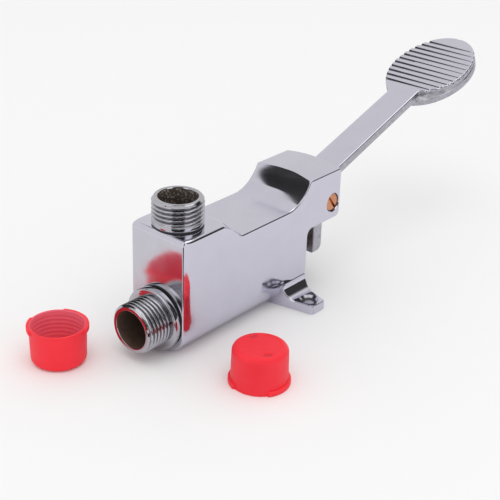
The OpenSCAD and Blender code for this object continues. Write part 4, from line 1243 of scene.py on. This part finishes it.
step_rings = [(0, PAD_BOTTOM), (oval_ring(STEP_INNER), PAD_BOTTOM)]
step_rings += [(oval_ring(STEP_UNDER * (1 - math.sin(a))), PAD_BOTTOM + STEP_UNDER * (1 - math.cos(a)))
               for a in upto(3)]
step_rings += [(oval_ring(STEP_OVER * (1 - math.cos(a))), PAD_STEP - STEP_OVER * (1 - math.sin(a)))
               for a in upto(3)]
step_rings += [(oval_ring(STEP_INNER), PAD_STEP), (0, PAD_STEP)]
hub_rings = [(0, -HUB_HALF), (HUB_R - 0.5, -HUB_HALF), (HUB_R - 0.15, 0.15 - HUB_HALF), (HUB_R, 0.5 - HUB_HALF),
             (HUB_R, HUB_HALF - 0.5), (HUB_R - 0.15, HUB_HALF - 0.15), (HUB_R - 0.5, HUB_HALF), (0, HUB_HALF)]
bore_rings = [(0, -BORE_HALF), (HUB_BORE, -BORE_HALF), (HUB_BORE, BORE_HALF), (0, BORE_HALF)]
tail_shape = bmesh.new()
tail_shape.from_mesh(box_mesh((TAIL_FRONT, -TAIL_HALF, TAIL_FOOT), (TAIL_REAR, TAIL_HALF, PIVOT_Z)))
heel = [e for e in tail_shape.edges
        if all(v.co.x > (TAIL_REAR - 0.1) * MM and v.co.z < (TAIL_FOOT + 0.1) * MM for v in e.verts)]
bmesh.ops.bevel(tail_shape, geom=heel, offset=HEEL_R * MM, segments=8, profile=0.5, affect="EDGES")
flanks = [e for e in tail_shape.edges if abs(sum(v.co.y for v in e.verts)) > (2 * TAIL_HALF - 0.1) * MM]
bmesh.ops.bevel(tail_shape, geom=flanks, offset=TAIL_EDGE * MM, segments=3, profile=0.5, affect="EDGES")
hub_place = placed(PIVOT_X, 0, PIVOT_Z, ALONG_Y)
carve(pedal, [
    ("UNION", turned_mesh("step", step_rings, arm_place @ Matrix.Translation((PAD_U * MM, 0, 0)), 128)),
    ("UNION", turned_mesh("hub", hub_rings, hub_place, 64)),
    ("UNION", to_mesh(tail_shape, "tail")),
    ("DIFFERENCE", turned_mesh("bore", bore_rings, hub_place, 64)),
])
print("pedal joined:", len(pedal.data.polygons), "faces")

# %% [markdown]
# The top of arm and pad was linished on a belt and plated. The pad's walls, the sides of the arm and the tail were
# never ground, so the plate there lies on the rough skin of the mould. Faces get one or the other by how they lean.

# %% Finish of the pedal
SKIN_BELOW, WALL_LEAN = 29.0, 0.35
for material in (pedal_chrome, skin_chrome):
    pedal.data.materials.append(material)
arm_up = arm_place.to_3x3() @ Vector((0, 0, 1))
to_arm = arm_place.inverted()
for face in pedal.data.polygons:
    height = (to_arm @ face.center).z / MM
    on_wall = abs(face.normal.dot(arm_up)) < WALL_LEAN or PAD_STEP + 0.05 < height < WALL_TOP + 0.1
    cast_skin = (face.center.x > HOOD_END * MM and on_wall) or face.center.z < SKIN_BELOW * MM
    face.material_index = 1 if cast_skin else 0
weigh_normals(pedal, 38)
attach(pedal, "pedal")
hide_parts("pedal_lever")
print("pedal finished with", [m.name for m in pedal.data.materials])

# %% [markdown]
# ## Pivot screw
# The screw's head shows in the near cheek, with its edge broken. Its frame solid is simple enough to keep, so modifiers
# round it: points are welded, flat triangles joined, and the sharp edges bevelled.

# %% Round the edges of the pivot screw
WORN_MM, WORN_ANGLE = 0.25, math.radians(30)
screw = nodes["pivot_screw"]
screw.modifiers.new("join_points", "WELD").merge_threshold = 0.002 * MM
flats = screw.modifiers.new("join_flats", "DECIMATE")
flats.decimate_type, flats.angle_limit = "DISSOLVE", math.radians(0.6)
worn = screw.modifiers.new("worn_edges", "BEVEL")
worn.width, worn.segments, worn.miter_outer = WORN_MM * MM, 3, "MITER_ARC"
worn.limit_method, worn.angle_limit = "ANGLE", WORN_ANGLE
worn.use_clamp_overlap, worn.harden_normals = False, True
print("pivot screw rounded by", WORN_MM, "mm")

# %% [markdown]
# ## Inner pieces
# Seat, disc, nuts, stem, washers and packing lie inside and show only when the valve is taken apart or through a bore.
# Their frame solids are kept, and each gets the finish of its real material.

# %% Inner pieces
FINISHES = {
    brass: ("seat_ring", "gland_washer", "valve_disc", "disc_nut", "pivot_bush"),
    dark_brownish_brass: ("gland_nut", "valve_stem"),
    rubber: ("inlet_washer", "outlet_washer", "front_packing", "rear_packing", "seat_washer"),
    copper: ("pivot_screw",),
}
for material, names in FINISHES.items():
    for node in names:
        nodes[node].data.materials.clear()
        nodes[node].data.materials.append(material)
    print(material.name, "on", names)
